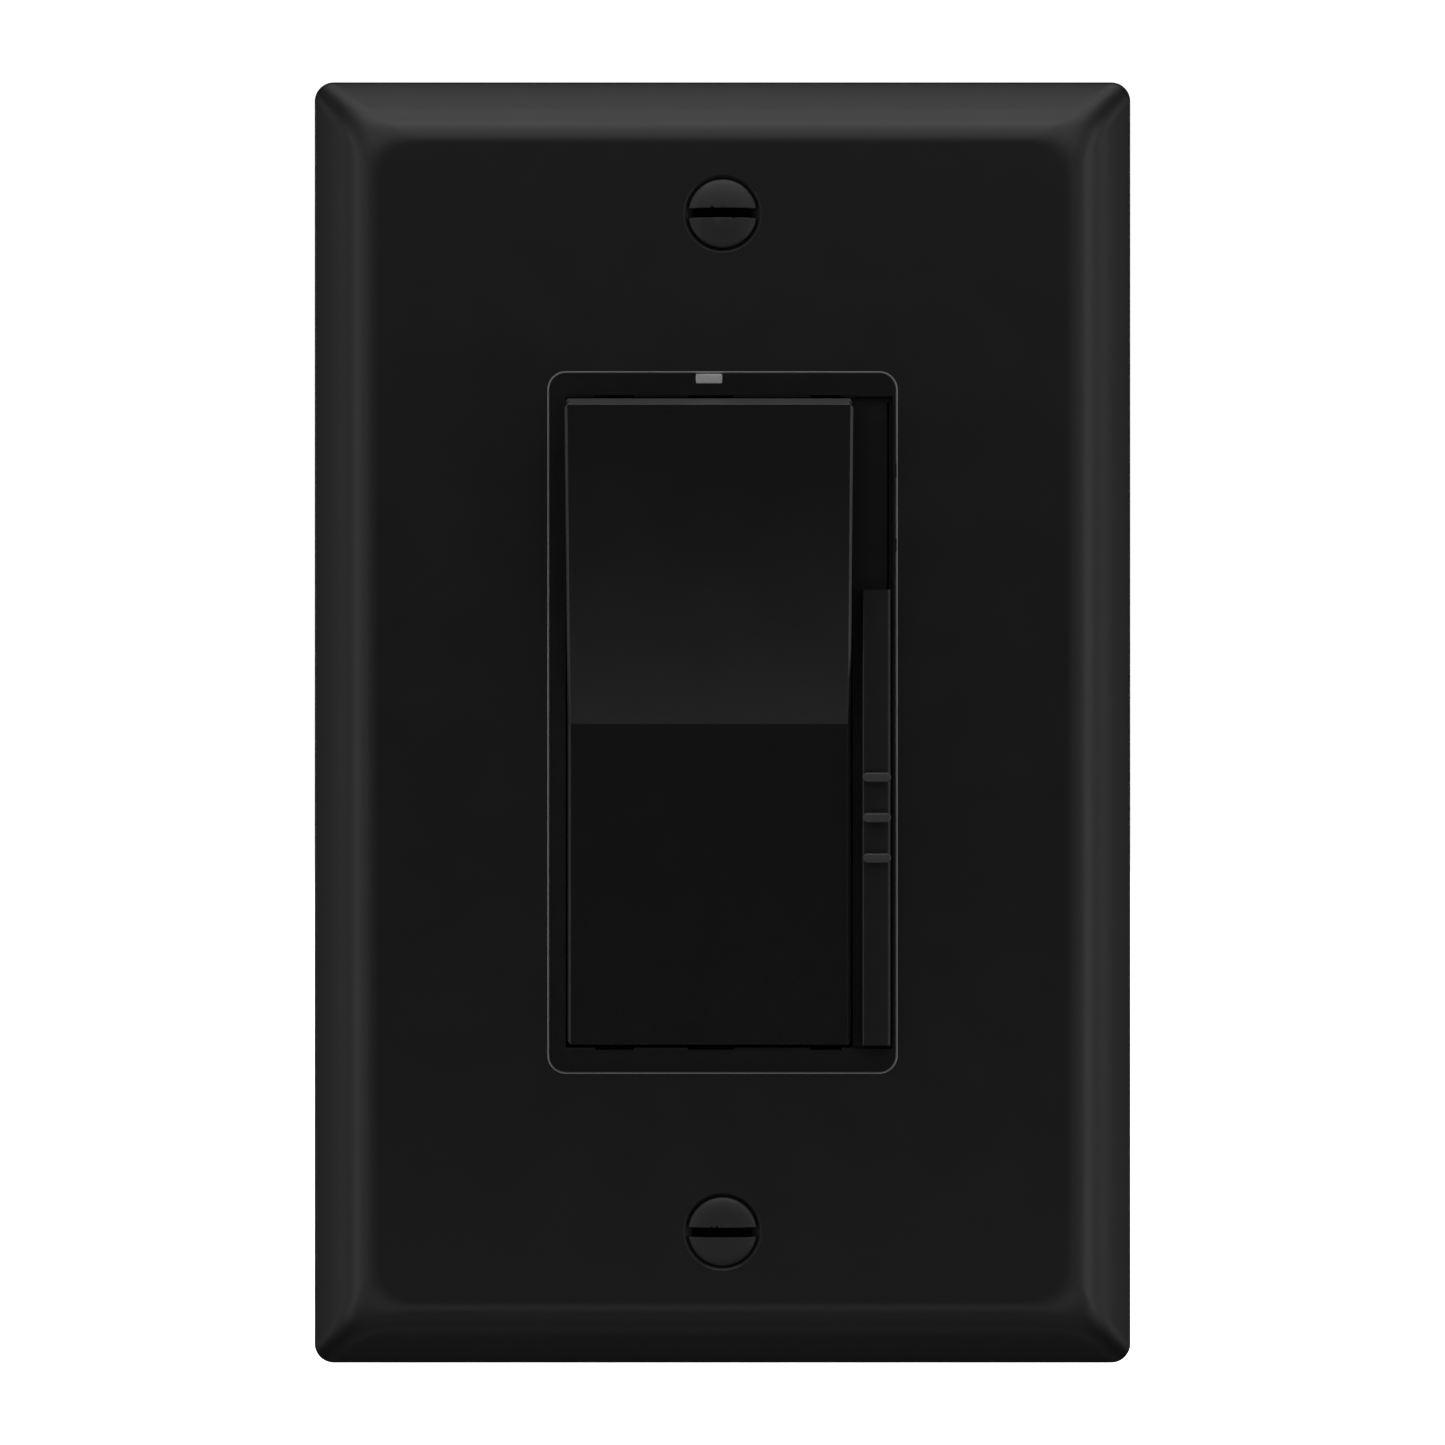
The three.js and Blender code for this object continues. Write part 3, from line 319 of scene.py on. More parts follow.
def plastic(name, color, roughness, grain=0.22 * MM, relief=0.004 * MM, rub_and_highlight=0.25, gloss=0.5):
    """Moulded plastic: fine spark-eroded grain, faint handling marks and lighter outer edges, partly
    rubbing and partly a painted highlight.
    """
    graph = Graph(name)
    marks = graph.ramp(graph.noise(14 * MM, 4), 0, 1)
    base = graph.mix(marks, tinted(color, 1 - TINT_SPREAD), tinted(color, 1 + TINT_SPREAD))
    # Outer edges are lightened, partly as rubbing and partly as a painted highlight where the edges catch
    # the light.
    rubbed_and_highlit_color = graph.mix(graph.rubbed_and_highlit_edges(rub_and_highlight), base, tinted(color, RUBBED_AND_HIGHLIT_TINT))
    graph.link(rubbed_and_highlit_color, graph.shader.inputs["Base Color"])
    dull = graph.ramp(graph.noise(6 * MM, 5), roughness - DULL_SPREAD, roughness + DULL_SPREAD)
    graph.link(dull, graph.shader.inputs["Roughness"])
    graph.bump(graph.noise(grain, 2), relief)
    graph.set(Specular_IOR_Level=gloss)
    return graph.material


def metal(name, color, roughness, stretch=(1, 1, 1), metallic=1.0):
    """Plated, brushed or rolled metal: streaks along one way, dull patches and bright edges."""
    graph = Graph(name)
    streaks = graph.noise(STREAK_SIZE, 5, graph.stretched(stretch), 0.7)
    base = graph.mix(graph.ramp(streaks, 0, 1), tinted(color, 0.82), tinted(color, 1.1))
    bright = graph.mix(graph.rubbed_and_highlit_edges(0.6), base, tinted(color, 1.5))
    graph.link(bright, graph.shader.inputs["Base Color"])
    dull = graph.ramp(graph.noise(4 * MM, 4), roughness - 0.07, roughness + 0.1)
    graph.link(dull, graph.shader.inputs["Roughness"])
    graph.bump(streaks, STREAK_RELIEF)
    graph.set(Metallic=metallic)
    return graph.material


FINISHES = {}


def finish_for(slot):
    """The material of a slot, made once."""
    if slot not in FINISHES:
        FINISHES[slot] = MAKERS[slot]()
    return FINISHES[slot]


def lens_finish():
    """Pale, cloudy plastic of the indicator."""
    graph = Graph("lens")
    cloud = graph.noise(0.8 * MM, 3)
    base = graph.mix(graph.ramp(cloud, 0, 1), grey(0.44), grey(0.56))
    graph.link(base, graph.shader.inputs["Base Color"])
    graph.link(graph.ramp(cloud, 0.2, 0.3), graph.shader.inputs["Roughness"])
    graph.bump(graph.noise(0.3 * MM), 0.002 * MM)
    graph.set(IOR=1.49)
    return graph.material


def board_finish():
    """Green solder mask over paler copper tracks."""
    graph = Graph("board")
    brick = graph.nodes.new("ShaderNodeTexBrick")
    brick.inputs["Scale"].default_value = 1 / (9 * MM)
    brick.inputs["Mortar Size"].default_value = 0.06
    brick.inputs["Color1"].default_value = (0.014, 0.095, 0.033, 1)
    brick.inputs["Color2"].default_value = (0.012, 0.085, 0.03, 1)
    brick.inputs["Mortar"].default_value = (0.03, 0.17, 0.05, 1)
    swap = graph.nodes.new("ShaderNodeMapping")
    swap.inputs["Rotation"].default_value = (math.pi / 2, 0, 0)
    graph.link(graph.place, swap.inputs["Vector"])
    graph.link(swap.outputs["Vector"], brick.inputs["Vector"])
    graph.link(brick.outputs["Color"], graph.shader.inputs["Base Color"])
    graph.link(graph.ramp(graph.noise(3 * MM), 0.25, 0.4), graph.shader.inputs["Roughness"])
    graph.bump(brick.outputs["Fac"], 0.03 * MM, 0.5)
    return graph.material


MAKERS = {
    "plate": lambda: plastic("plate", grey(0.0097), 0.36),
    # Painted highlight: the opening's rounded lip is a pale grey on the black plate, so it shows as a
    # bright line round the opening.
    "plate_lip_highlight": lambda: plastic("plate_lip_highlight", grey(0.36), 0.4, rub_and_highlight=0.0),
    "frame": lambda: plastic("frame", grey(0.0086), 0.36, gloss=0.25),
    "paddle": lambda: plastic("paddle", grey(0.0129), 0.2, relief=0.002 * MM),
    # Painted highlight: the paddle's end walls are a lighter grey than the rest of the paddle, standing in
    # for the light they catch.
    "paddle_end_highlight": lambda: plastic("paddle_end_highlight", grey(0.073), 0.4),
    "slide": lambda: plastic("slide", grey(0.0087), 0.36),
    "ridge": lambda: plastic("ridge", grey(0.049), 0.45),
    "lens": lens_finish,
    "black_screw": lambda: plastic("black_screw", grey(0.018), 0.5, rub_and_highlight=0.5),
    # Painted shade: the screw slots are near black and dull, so they read as deep shadow.
    "screw_slot_shade": lambda: plastic("screw_slot_shade", grey(0.002), 0.7, rub_and_highlight=0.0, gloss=0.05),
    "strap": lambda: metal("strap", (0.62, 0.63, 0.64), 0.34, (1, 1, 0.03)),
    "zinc": lambda: metal("zinc", (0.56, 0.57, 0.60), 0.28, (0.3, 0.3, 1)),
    "green_screw": lambda: metal("green_screw", (0.02, 0.22, 0.06), 0.35, metallic=0.6),
    "fibre": lambda: plastic("fibre", (0.42, 0.30, 0.16), 0.8, 0.5 * MM, 0.03 * MM),
    "housing": lambda: plastic("housing", (0.022, 0.022, 0.024), 0.5, 0.35 * MM, 0.012 * MM),
    "board": board_finish,
    "pot_case": lambda: metal("pot_case", (0.45, 0.46, 0.47), 0.3, (1, 1, 0.05)),
    "track": lambda: plastic("track", (0.05, 0.03, 0.02), 0.5),
    "nylon": lambda: plastic("nylon", (0.72, 0.70, 0.62), 0.42),
    "epoxy": lambda: plastic("epoxy", (0.012, 0.012, 0.013), 0.35, 0.1 * MM, 0.006 * MM),
    "ferrite": lambda: plastic("ferrite", (0.035, 0.036, 0.038), 0.75, 0.3 * MM, 0.02 * MM),
    "copper": lambda: metal("copper", (0.60, 0.20, 0.06), 0.25, (1, 6, 1)),
    "film_box": lambda: plastic("film_box", (0.60, 0.36, 0.02), 0.3),
    "film_dip": lambda: plastic("film_dip", (0.26, 0.03, 0.018), 0.22, 1.5 * MM, 0.02 * MM),
    "sleeve": lambda: plastic("sleeve", (0.014, 0.022, 0.065), 0.25, 2 * MM, 0.01 * MM),
    "fuse_body": lambda: plastic("fuse_body", (0.70, 0.68, 0.62), 0.5),
    "resistor": lambda: plastic("resistor", (0.60, 0.42, 0.22), 0.4),
    "diode": lambda: plastic("diode", (0.35, 0.05, 0.03), 0.12),
    "led": lambda: plastic("led", (0.85, 0.85, 0.80), 0.1),
    "brass": lambda: metal("brass", (0.72, 0.48, 0.16), 0.25),
    "bronze": lambda: metal("bronze", (0.55, 0.27, 0.10), 0.28, (1, 1, 0.05)),
    "silver": lambda: metal("silver", grey(0.82), 0.18),
    "pad": lambda: plastic("pad", (0.55, 0.57, 0.60), 0.8, 0.4 * MM, 0.02 * MM),
}


def dress(obj, body, slot, *nodes, finishes=()):
    """Gives a new piece its finish and its body, and lets it stand for the named nodes."""
    for finish in finishes or (slot,):
        obj.data.materials.append(finish_for(finish))
    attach(obj, body)
    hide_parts(*nodes)


# ---------------------------------------------------------------- wall plate

PLATE_LOW, PLATE_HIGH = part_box("wall_plate")
PLATE_WIDTH = PLATE_HIGH.x - PLATE_LOW.x
PLATE_HEIGHT = PLATE_HIGH.z - PLATE_LOW.z
PLATE_FRONT = PLATE_LOW.y
PLATE_CORNER = 1.85 * MM
PLATE_RIM = 0.6 * MM
PLATE_WALL = 2.2 * MM
PLATE_SKIN = 2.3 * MM
INSIDE_CORNER = 1.0 * MM
INSIDE_RIM = 0.1 * MM
BEVEL_RUN = 6.9 * MM
BEVEL_RISE = 1.28
BEVEL_ROLL = 0.65
INSIDE_RUN = 0.8 * BEVEL_RUN
INSIDE_STEPS = 10
OPENING = (33.3 * MM, 66.8 * MM)
OPENING_CORNER = 1.75 * MM
OPENING_LIP = 0.21 * MM
LIP_STEPS = 4
CORNER_GROWTH = 0.25
CORNER_STEPS = 12
RIB_Z = (23.96 * MM, 16.88 * MM)
RIB_HALF = 0.65 * MM
RIB_SET_BACK = 0.02 * MM
RIB_ROOT = 0.05 * MM
SCREW_Z = 48.42 * MM
COUNTERSINK = 3.65 * MM
COUNTERSINK_DEPTH = 1.75 * MM
SCREW_HOLE = 1.95 * MM
HOLE_EDGE = 0.08 * MM


def bezier(points, t):
    """A point on the cubic curve with the four given control points."""
    weights = ((1 - t) ** 3, 3 * t * (1 - t) ** 2, 3 * t * t * (1 - t), t**3)
    return tuple(sum(w * p[axis] for w, p in zip(weights, points)) for axis in (0, 1))


def bevel_profile(rim, depth, run, steps=28):
    """(inset, height) from the rim to the flat face: a steep side that rolls over into the face."""
    controls = [(0, rim), (run / 3, rim + BEVEL_RISE * run / 3), (BEVEL_ROLL * run, depth), (run, depth)]
    return [bezier(controls, step / steps) for step in range(steps + 1)]


def plate_ring(bm, inset, y, corner=PLATE_CORNER):
    """The plate's outline moved in, with corners that grow rounder, so the mitres blend."""
    radius = corner + CORNER_GROWTH * inset
    width = PLATE_WIDTH - 2 * inset
    height = PLATE_HEIGHT - 2 * inset
    return add_ring(bm, rounded_ring(width, height, radius, steps=CORNER_STEPS), y)


def opening_ring(bm, grow, y):
    """The opening's outline made larger, or smaller where the growth is negative."""
    size = [side + 2 * grow for side in OPENING]
    return add_ring(bm, rounded_ring(*size, OPENING_CORNER + grow, steps=CORNER_STEPS), y)


def hole_ring(bm, radius, y, z):
    """A circle in the middle of the plate's width."""
    points = [(radius * math.cos(a), z + radius * math.sin(a)) for a in turns(ROUND_SIDES)]
    return add_ring(bm, points, y)


def opening_lip(bm):
    """Rings over the rounded front edge of the opening."""
    rings = []
    for step in range(LIP_STEPS + 1):
        angle = step / LIP_STEPS * math.pi / 2
        y = PLATE_FRONT + OPENING_LIP * (1 - math.cos(angle))
        rings.append(opening_ring(bm, -OPENING_LIP * math.sin(angle), y))
    return rings


def screw_hole(bm, z, back):
    """A countersunk hole. Gives its front and back rings."""
    rings = [
        hole_ring(bm, COUNTERSINK + HOLE_EDGE, PLATE_FRONT, z),
        hole_ring(bm, COUNTERSINK, PLATE_FRONT + 0.6 * HOLE_EDGE, z),
        hole_ring(bm, SCREW_HOLE, PLATE_FRONT + COUNTERSINK_DEPTH, z),
        hole_ring(bm, SCREW_HOLE, back, z),
    ]
    skin_all(bm, rings)
    return rings[0], rings[-1]


def plate_ribs(back):
    """Two small ribs on the right side of the opening."""
    right = OPENING[0] / 2
    x = (right - OPENING_LIP - RIB_SET_BACK, right + RIB_ROOT)
    y = (PLATE_FRONT + RIB_SET_BACK, back)
    for i, z in enumerate(RIB_Z):
        rib = block(f"plate_rib_{i + 1}", x, y, (z - RIB_HALF, z + RIB_HALF))
        dress(rib, "device", "plate", "wall_plate")


def wall_plate():
    """The bevelled plate, hollow behind, with its opening and its two screw holes."""
    bm = bmesh.new()
    depth = -PLATE_FRONT
    back = PLATE_SKIN - depth
    outside = [plate_ring(bm, 0, 0)]
    for inset, height in bevel_profile(PLATE_RIM, depth, BEVEL_RUN):
        outside.append(plate_ring(bm, inset, -height))
    skin_all(bm, outside)
    inside = [outside[0], plate_ring(bm, PLATE_WALL, 0, INSIDE_CORNER)]
    for inset, height in bevel_profile(INSIDE_RIM, -back, INSIDE_RUN, INSIDE_STEPS)[1:]:
        inside.append(plate_ring(bm, PLATE_WALL + inset, -height, INSIDE_CORNER))
    skin_all(bm, inside)
    edge = opening_lip(bm)
    faces_before = set(bm.faces)
    skin_all(bm, edge)
    lip_highlight_faces = [face for face in bm.faces if face not in faces_before]
    edge.append(opening_ring(bm, -OPENING_LIP, back))
    skin(bm, edge[-2], edge[-1])
    holes = [screw_hole(bm, z, back) for z in (SCREW_Z, -SCREW_Z)]
    fill_between(bm, outside[-1], edge[0], *[ends[0] for ends in holes])
    fill_between(bm, inside[-1], edge[-1], *[ends[1] for ends in holes])
    # The lip's faces take the pale finish: a painted highlight round the opening.
    for face in lip_highlight_faces:
        face.material_index = 1
    plate = finish_mesh("plate_shell", bm, 50)
    plate.modifiers.new("normals", "WEIGHTED_NORMAL").keep_sharp = True
    plate_ribs(back)
    dress(plate, "device", "plate", "wall_plate", finishes=("plate", "plate_lip_highlight"))


# ---------------------------------------------------------------- plate screws

HEAD_RADIUS = 3.27 * MM
HEAD_DOME = 0.65 * MM
HEAD_CONE = 1.67 * MM
SLOT_WIDTH = 0.93 * MM
SLOT_DEPTH = 1.3 * MM
SLOT_TOUCH = 0.01 * MM
DOME_STEPS = 12
DOME_TOP = 0.02 * MM
HEAD_EDGE = 0.12 * MM
SHANK_RADIUS = 1.6 * MM
THREAD_PITCH = 0.79 * MM
THREAD_DEPTH = 0.25 * MM
TIP_LENGTH = 1.2 * MM


def screw_profile(front, seat, tip):
    """(radius, y) points from the domed front of a screw to its blunt tip."""
    dome = []
    for step in range(DOME_STEPS + 1):
        angle = step / DOME_STEPS * math.pi / 2
        radius = max(DOME_TOP, HEAD_RADIUS * math.sin(angle))
        dome.append((radius, seat - (seat - front) * math.cos(angle)))
    head = [(HEAD_RADIUS, seat + HEAD_EDGE), (SHANK_RADIUS, seat + HEAD_CONE)]
    thread = []
    y = seat + HEAD_CONE + THREAD_PITCH
    while y < tip - 1.6 * THREAD_PITCH:
        thread += [(SHANK_RADIUS, y), (SHANK_RADIUS - THREAD_DEPTH, y + THREAD_PITCH / 2)]
        y += THREAD_PITCH
    point = [(SHANK_RADIUS, tip - TIP_LENGTH), (0.6 * SHANK_RADIUS, tip)]
    return dome + head + thread + point


def plate_screw(end, z):
    """An oval-head screw with a straight slot across its domed head."""
    low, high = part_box(f"plate_screw_{end}")
    seat = low.y + HEAD_DOME
    slot_floor = low.y + SLOT_DEPTH
    screw = turned(f"cover_screw_{end}", screw_profile(low.y, seat, high.y), (0, 0, z))
    reach = HEAD_RADIUS + 1 * MM
    half = SLOT_WIDTH / 2
    cut(screw, block("slot", (-reach, reach), (seat - 2 * MM, slot_floor), (z - half, z + half)))
    # The slot's faces take the near-black finish, painted shade inside the slot.
    for face in screw.data.polygons:
        in_width = abs(face.center.z - z) < half + SLOT_TOUCH
        if in_width and face.center.y < slot_floor + SLOT_TOUCH:
            face.material_index = 1
    soften(screw, 0.05 * MM, degrees=50)
    finishes = ("black_screw", "screw_slot_shade")
    dress(screw, "device", "black_screw", f"plate_screw_{end}", finishes=finishes)


# ---------------------------------------------------------------- device frame

FRAME_FACE = -6.0 * MM
FRAME_SIZE = (32.8 * MM, 66.4 * MM)
FRAME_CORNER = 1.5 * MM
FLANGE_SIZE = (37.4 * MM, 70.6 * MM)
FLANGE_FRONT = -3.3 * MM
FLANGE_BACK = -1.9 * MM
RECESS_X = (-14.9 * MM, 12.4 * MM)
RECESS_HALF = 31.1 * MM
CHANNEL_FLOOR = -5.55 * MM
CHANNEL_RIGHT = 16.18 * MM
CHANNEL_HALF = 31.0 * MM
CHANNEL_OVERLAP = 0.5 * MM
STEM_SLOT_X = (14.0 * MM, 15.2 * MM)
STEM_SLOT_Z = (-11.5 * MM, 11.4 * MM)
GROOVE_X = (15.64 * MM, 15.87 * MM)
GROOVE_FLOOR = -4.7 * MM
GROOVE_HALF = 30.5 * MM
HINGE_Y = -4.2 * MM
PIVOT_RADIUS = 1.1 * MM
PIVOT_RIGHT = 13.4 * MM
LENS_NOTCH = (32.2 * MM, 34 * MM)
LENS_GAP = 0.05 * MM
LEDGE_FACE = -5.95 * MM
LEDGE_REACH = 0.2 * MM
LEDGE_ROOT = 0.5 * MM
LEG_X = 10 * MM
LEG_HALF = 2.5 * MM

# Left and right ends of the ledges at each end of the recess.
LEDGES = [(left * MM, right * MM)
          for left, right in ((-14.9, -12.1), (-8.4, -3.3), (1.05, 8.3), (11.3, 12.4))]

# A leg's side view: its front and back, where its hook tapers and starts, and its height from the middle.
LEG_FRONT = -2.4 * MM
LEG_BACK = 2.4 * MM
HOOK_TAPER = 1.2 * MM
HOOK_START = 0.25 * MM
LEG_NEAR = 31.5 * MM
LEG_FAR = 32.7 * MM
LEG_HOOK = 33.3 * MM


def snap_leg(x, side):
    """A springy leg with a hook that holds the frame to the strap."""
    near, far, hook = (side * height for height in (LEG_NEAR, LEG_FAR, LEG_HOOK))
    outline = [
        (LEG_FRONT, near), (LEG_BACK, near), (LEG_BACK, far),
        (HOOK_TAPER, hook), (HOOK_START, hook), (HOOK_START, far), (LEG_FRONT, far),
    ]
    return cross_prism("leg", outline, x - LEG_HALF, x + LEG_HALF)


def frame_openings(front):
    """Shapes to take out of the frame: recess, channel, slots, pivots and lens notch."""
    through = (front, 0)
    low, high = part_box("light_pipe")
    return [
        block("recess", RECESS_X, through, (-RECESS_HALF, RECESS_HALF)),
        block("channel", (RECESS_X[1] - CHANNEL_OVERLAP, CHANNEL_RIGHT), (front, CHANNEL_FLOOR),
              (-CHANNEL_HALF, CHANNEL_HALF)),
        block("stem_slot", STEM_SLOT_X, through, STEM_SLOT_Z),
        block("groove", GROOVE_X, (front, GROOVE_FLOOR), (-GROOVE_HALF, GROOVE_HALF)),
        cross_rod("pivots", PIVOT_RADIUS, -FLANGE_SIZE[0], PIVOT_RIGHT, HINGE_Y, 0),
        block("notch", (low.x - LENS_GAP, high.x + LENS_GAP), through, LENS_NOTCH),
    ]


def device_frame():
    """The inner frame: its face and flange, the openings, the ledges in the recess and four snap legs."""
    middle = (FLANGE_FRONT + FLANGE_BACK) / 2
    bezel = prism("bezel_frame", rounded_ring(*FRAME_SIZE, FRAME_CORNER), FRAME_FACE, middle)
    join(bezel, prism("flange", rounded_ring(*FLANGE_SIZE, 2 * MM), FLANGE_FRONT, FLANGE_BACK))
    cut(bezel, *frame_openings(FRAME_FACE - 1 * MM))
    for ledge in LEDGES:
        for side in (1, -1):
            ends = sorted((side * (RECESS_HALF - LEDGE_REACH), side * (RECESS_HALF + LEDGE_ROOT)))
            join(bezel, block("ledge", ledge, (LEDGE_FACE, middle), ends))
    join(bezel, *[snap_leg(x, side) for x in (-LEG_X, LEG_X) for side in (1, -1)])
    soften(bezel, 0.07 * MM)
    dress(bezel, "device", "frame", "front_frame")


LENS_SET_BACK = 0.02 * MM
LENS_HEIGHT = 0.93 * MM
LENS_FOOT_FRONT = 0.4 * MM
LENS_FOOT_TOP = 0.5 * MM


def indicator_lens():
    """The small pale lens at the top of the frame, with a foot that reaches back and down to the lamp."""
    low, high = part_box("light_pipe")
    x = (low.x, high.x)
    lens = block("indicator_lens", x, (low.y + LENS_SET_BACK, high.y), (high.z - LENS_HEIGHT, high.z))
    join(lens, block("foot", x, (LENS_FOOT_FRONT, high.y), (low.z, high.z - LENS_FOOT_TOP)))
    soften(lens, 0.12 * MM, 3)
    dress(lens, "device", "lens", "light_pipe")


# ---------------------------------------------------------------- paddle

ROCK_ANGLE = math.radians(11.2)
PADDLE_X = (-14.72 * MM, 12.19 * MM)
PADDLE_END = 30.55 * MM
PADDLE_FACE = -2.15 * MM
PADDLE_BACK = 1.6 * MM
PADDLE_WALL = 1.6 * MM
PADDLE_SKIN = 1.8 * MM
PADDLE_CHAMFER = 0.29 * MM
CREASE_HALF = 0.12 * MM
SKIRT_BACK = 4.25 * MM
SKIRT_FRONT = PADDLE_BACK - 0.5 * MM
SKIRT_THICKNESS = 1.2 * MM
CAP_RIB_X = 7 * MM
CAP_RIB_HALF = 0.5 * MM
DRIVE_LEG_Z = (-9.2 * MM, -7.0 * MM)
DRIVE_LEG_HALF = 2.5 * MM
SHAFT_RADIUS = 1.5 * MM
PIN_RADIUS = 0.9 * MM
PIN_LEFT = 1.3 * MM
PIN_RIGHT = 0.95 * MM


def upper_twin(y, z):
    """A point of the lower half mirrored to the upper one and turned out by the rocking angle."""
    return (y * math.cos(ROCK_ANGLE) + z * math.sin(ROCK_ANGLE),
            y * math.sin(ROCK_ANGLE) - z * math.cos(ROCK_ANGLE))


def paddle_outline(face, back, end):
    """The V-shaped side view, in Y and Z, with its lower half upright and a narrow flat in its crease."""
    lean = math.tan(ROCK_ANGLE / 2)
    lower = [(face, face * lean - CREASE_HALF), (face, -end), (back, -end)]
    upper = [upper_twin(y, z) for y, z in reversed(lower)]
    ring = [*lower, (back, back * lean), *upper]
    return [(y + HINGE_Y, z) for y, z in ring]


def skirt_outlines():
    """The two deep end walls, which reach back through the strap."""
    inner = SKIRT_THICKNESS - PADDLE_END
    lower = [
        (SKIRT_FRONT, -PADDLE_END), (SKIRT_BACK, -PADDLE_END),
        (SKIRT_BACK, inner), (SKIRT_FRONT, inner),
    ]
    upper = [upper_twin(y, z) for y, z in reversed(lower)]
    return [[(y + HINGE_Y, z) for y, z in ring] for ring in (lower, upper)]


def chamfered_cap():
    """The V-shaped body with a chamfer all along its left and right sides."""
    left, right = PADDLE_X
    chamfer = PADDLE_CHAMFER
    full = paddle_outline(PADDLE_FACE, PADDLE_BACK, PADDLE_END)
    small = paddle_outline(PADDLE_FACE + chamfer, PADDLE_BACK, PADDLE_END - chamfer)
    sections = ((left, small), (left + chamfer, full), (right - chamfer, full), (right, small))
    bm = bmesh.new()
    rings = [[bm.verts.new((x, y, z)) for y, z in outline] for x, outline in sections]
    skin_all(bm, rings)
    bm.faces.new(rings[0])
    bm.faces.new(rings[-1])
    return finish_mesh("rocker_cap", bm)


def mark_end_wall_highlights(cap):
    """Gives the walls at the paddle's two ends their own, lighter finish: a painted highlight on the end
    walls.
    """
    for face in cap.data.polygons:
        if abs(face.normal.z) > 0.9 and abs(face.center.z) > PADDLE_END - PADDLE_WALL / 2:
            face.material_index = 1


def paddle():
    """The rocker: a hollow cap with ribs, deep end walls, a leg that drives the contacts and pivot pins."""
    left, right = PADDLE_X
    middle = (left + right) / 2
    ceiling = PADDLE_FACE + PADDLE_SKIN
    cap = chamfered_cap()
    hollow = paddle_outline(ceiling, PADDLE_BACK + 1 * MM, PADDLE_END - PADDLE_WALL)
    cut(cap, cross_prism("hollow", hollow, left + PADDLE_WALL, right - PADDLE_WALL))
    web = paddle_outline(ceiling - 0.3 * MM, PADDLE_BACK - 0.4 * MM, PADDLE_END - 1 * MM)
    ribs = [cross_prism("rib", web, middle + x - CAP_RIB_HALF, middle + x + CAP_RIB_HALF)
            for x in (-CAP_RIB_X, CAP_RIB_X)]
    skirts = [cross_prism("skirt", ring, left, right) for ring in skirt_outlines()]
    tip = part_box("paddle")[1].y
    leg_x = (middle - DRIVE_LEG_HALF, middle + DRIVE_LEG_HALF)
    leg = block("leg", leg_x, (HINGE_Y - 1 * MM, tip), DRIVE_LEG_Z)
    shaft = cross_rod("shaft", SHAFT_RADIUS, left + 0.5 * MM, right - 0.5 * MM, HINGE_Y, 0)
    pins = cross_rod("pins", PIN_RADIUS, left - PIN_LEFT, right + PIN_RIGHT, HINGE_Y, 0)
    join(cap, *skirts, *ribs, leg, shaft, pins)
    mark_end_wall_highlights(cap)
    soften(cap, 0.05 * MM)
    dress(cap, "rocker", "paddle", "paddle", finishes=("paddle", "paddle_end_highlight"))


# ---------------------------------------------------------------- slide

SLIDE_LEFT_EDGE = 0.2 * MM
SLIDE_RIGHT_EDGE = 0.34 * MM
SLIDE_FACE = -7.2 * MM
SLIDE_BACK = -5.75 * MM
STEM_X = (14.2 * MM, 15.0 * MM)
STEM_Z = (-11.2 * MM, -7.2 * MM)
BRIDGE_FRONT = SLIDE_BACK - 0.5 * MM
BRIDGE_BACK = -0.7 * MM
TINE_FRONT = -1.4 * MM
TINE_WIDTH = 1.0 * MM
RIDGE_COUNT = 3
RIDGE_PITCH = 3.82 * MM
RIDGE_HEIGHT = 0.88 * MM
RIDGE_BACK = SLIDE_FACE + 0.6 * MM
RIDGE_EDGE = 0.15 * MM


def quarter(centre_x, centre_y, radius, start, steps=6):
    """Points in X and Y on a quarter circle that starts at the angle in degrees."""
    angles = [math.radians(start + 90 * step / steps) for step in range(steps + 1)]
    return [(centre_x + radius * math.cos(a), centre_y + radius * math.sin(a)) for a in angles]


def grip_bar(low, high):
    """The slide's bar: round along its sides and cut square at its ends."""
    left, right = SLIDE_LEFT_EDGE, SLIDE_RIGHT_EDGE
    section = [(low.x, SLIDE_BACK)]
    section += quarter(low.x + left, SLIDE_FACE + left, left, 180)
    section += quarter(high.x - right, SLIDE_FACE + right, right, 270)
    section += [(high.x, SLIDE_BACK)]
    bm = bmesh.new()
    rings = [[bm.verts.new((x, y, z)) for x, y in section] for z in (low.z, high.z)]
    skin_all(bm, rings)
    bm.faces.new(rings[0])
    bm.faces.new(rings[1])
    return finish_mesh("slide_grip", bm)


def domed_strip(name, width, height, centre, front, back, edge, steps=5):
    """A bar with round ends and round front edges."""
    bm = bmesh.new()
    corner = height / 2 - 0.01 * MM
    rings = [add_ring(bm, rounded_ring(width, height, corner, centre), back)]
    for step in range(steps + 1):
        angle = step / steps * math.pi / 2
        inset = edge * (1 - math.cos(angle))
        y = front + edge * (1 - math.sin(angle))
        points = rounded_ring(width - 2 * inset, height - 2 * inset, corner - inset, centre)
        rings.append(add_ring(bm, points, y))
    skin_all(bm, rings)
    bm.faces.new(rings[0])
    bm.faces.new(rings[-1])
    return finish_mesh(name, bm)


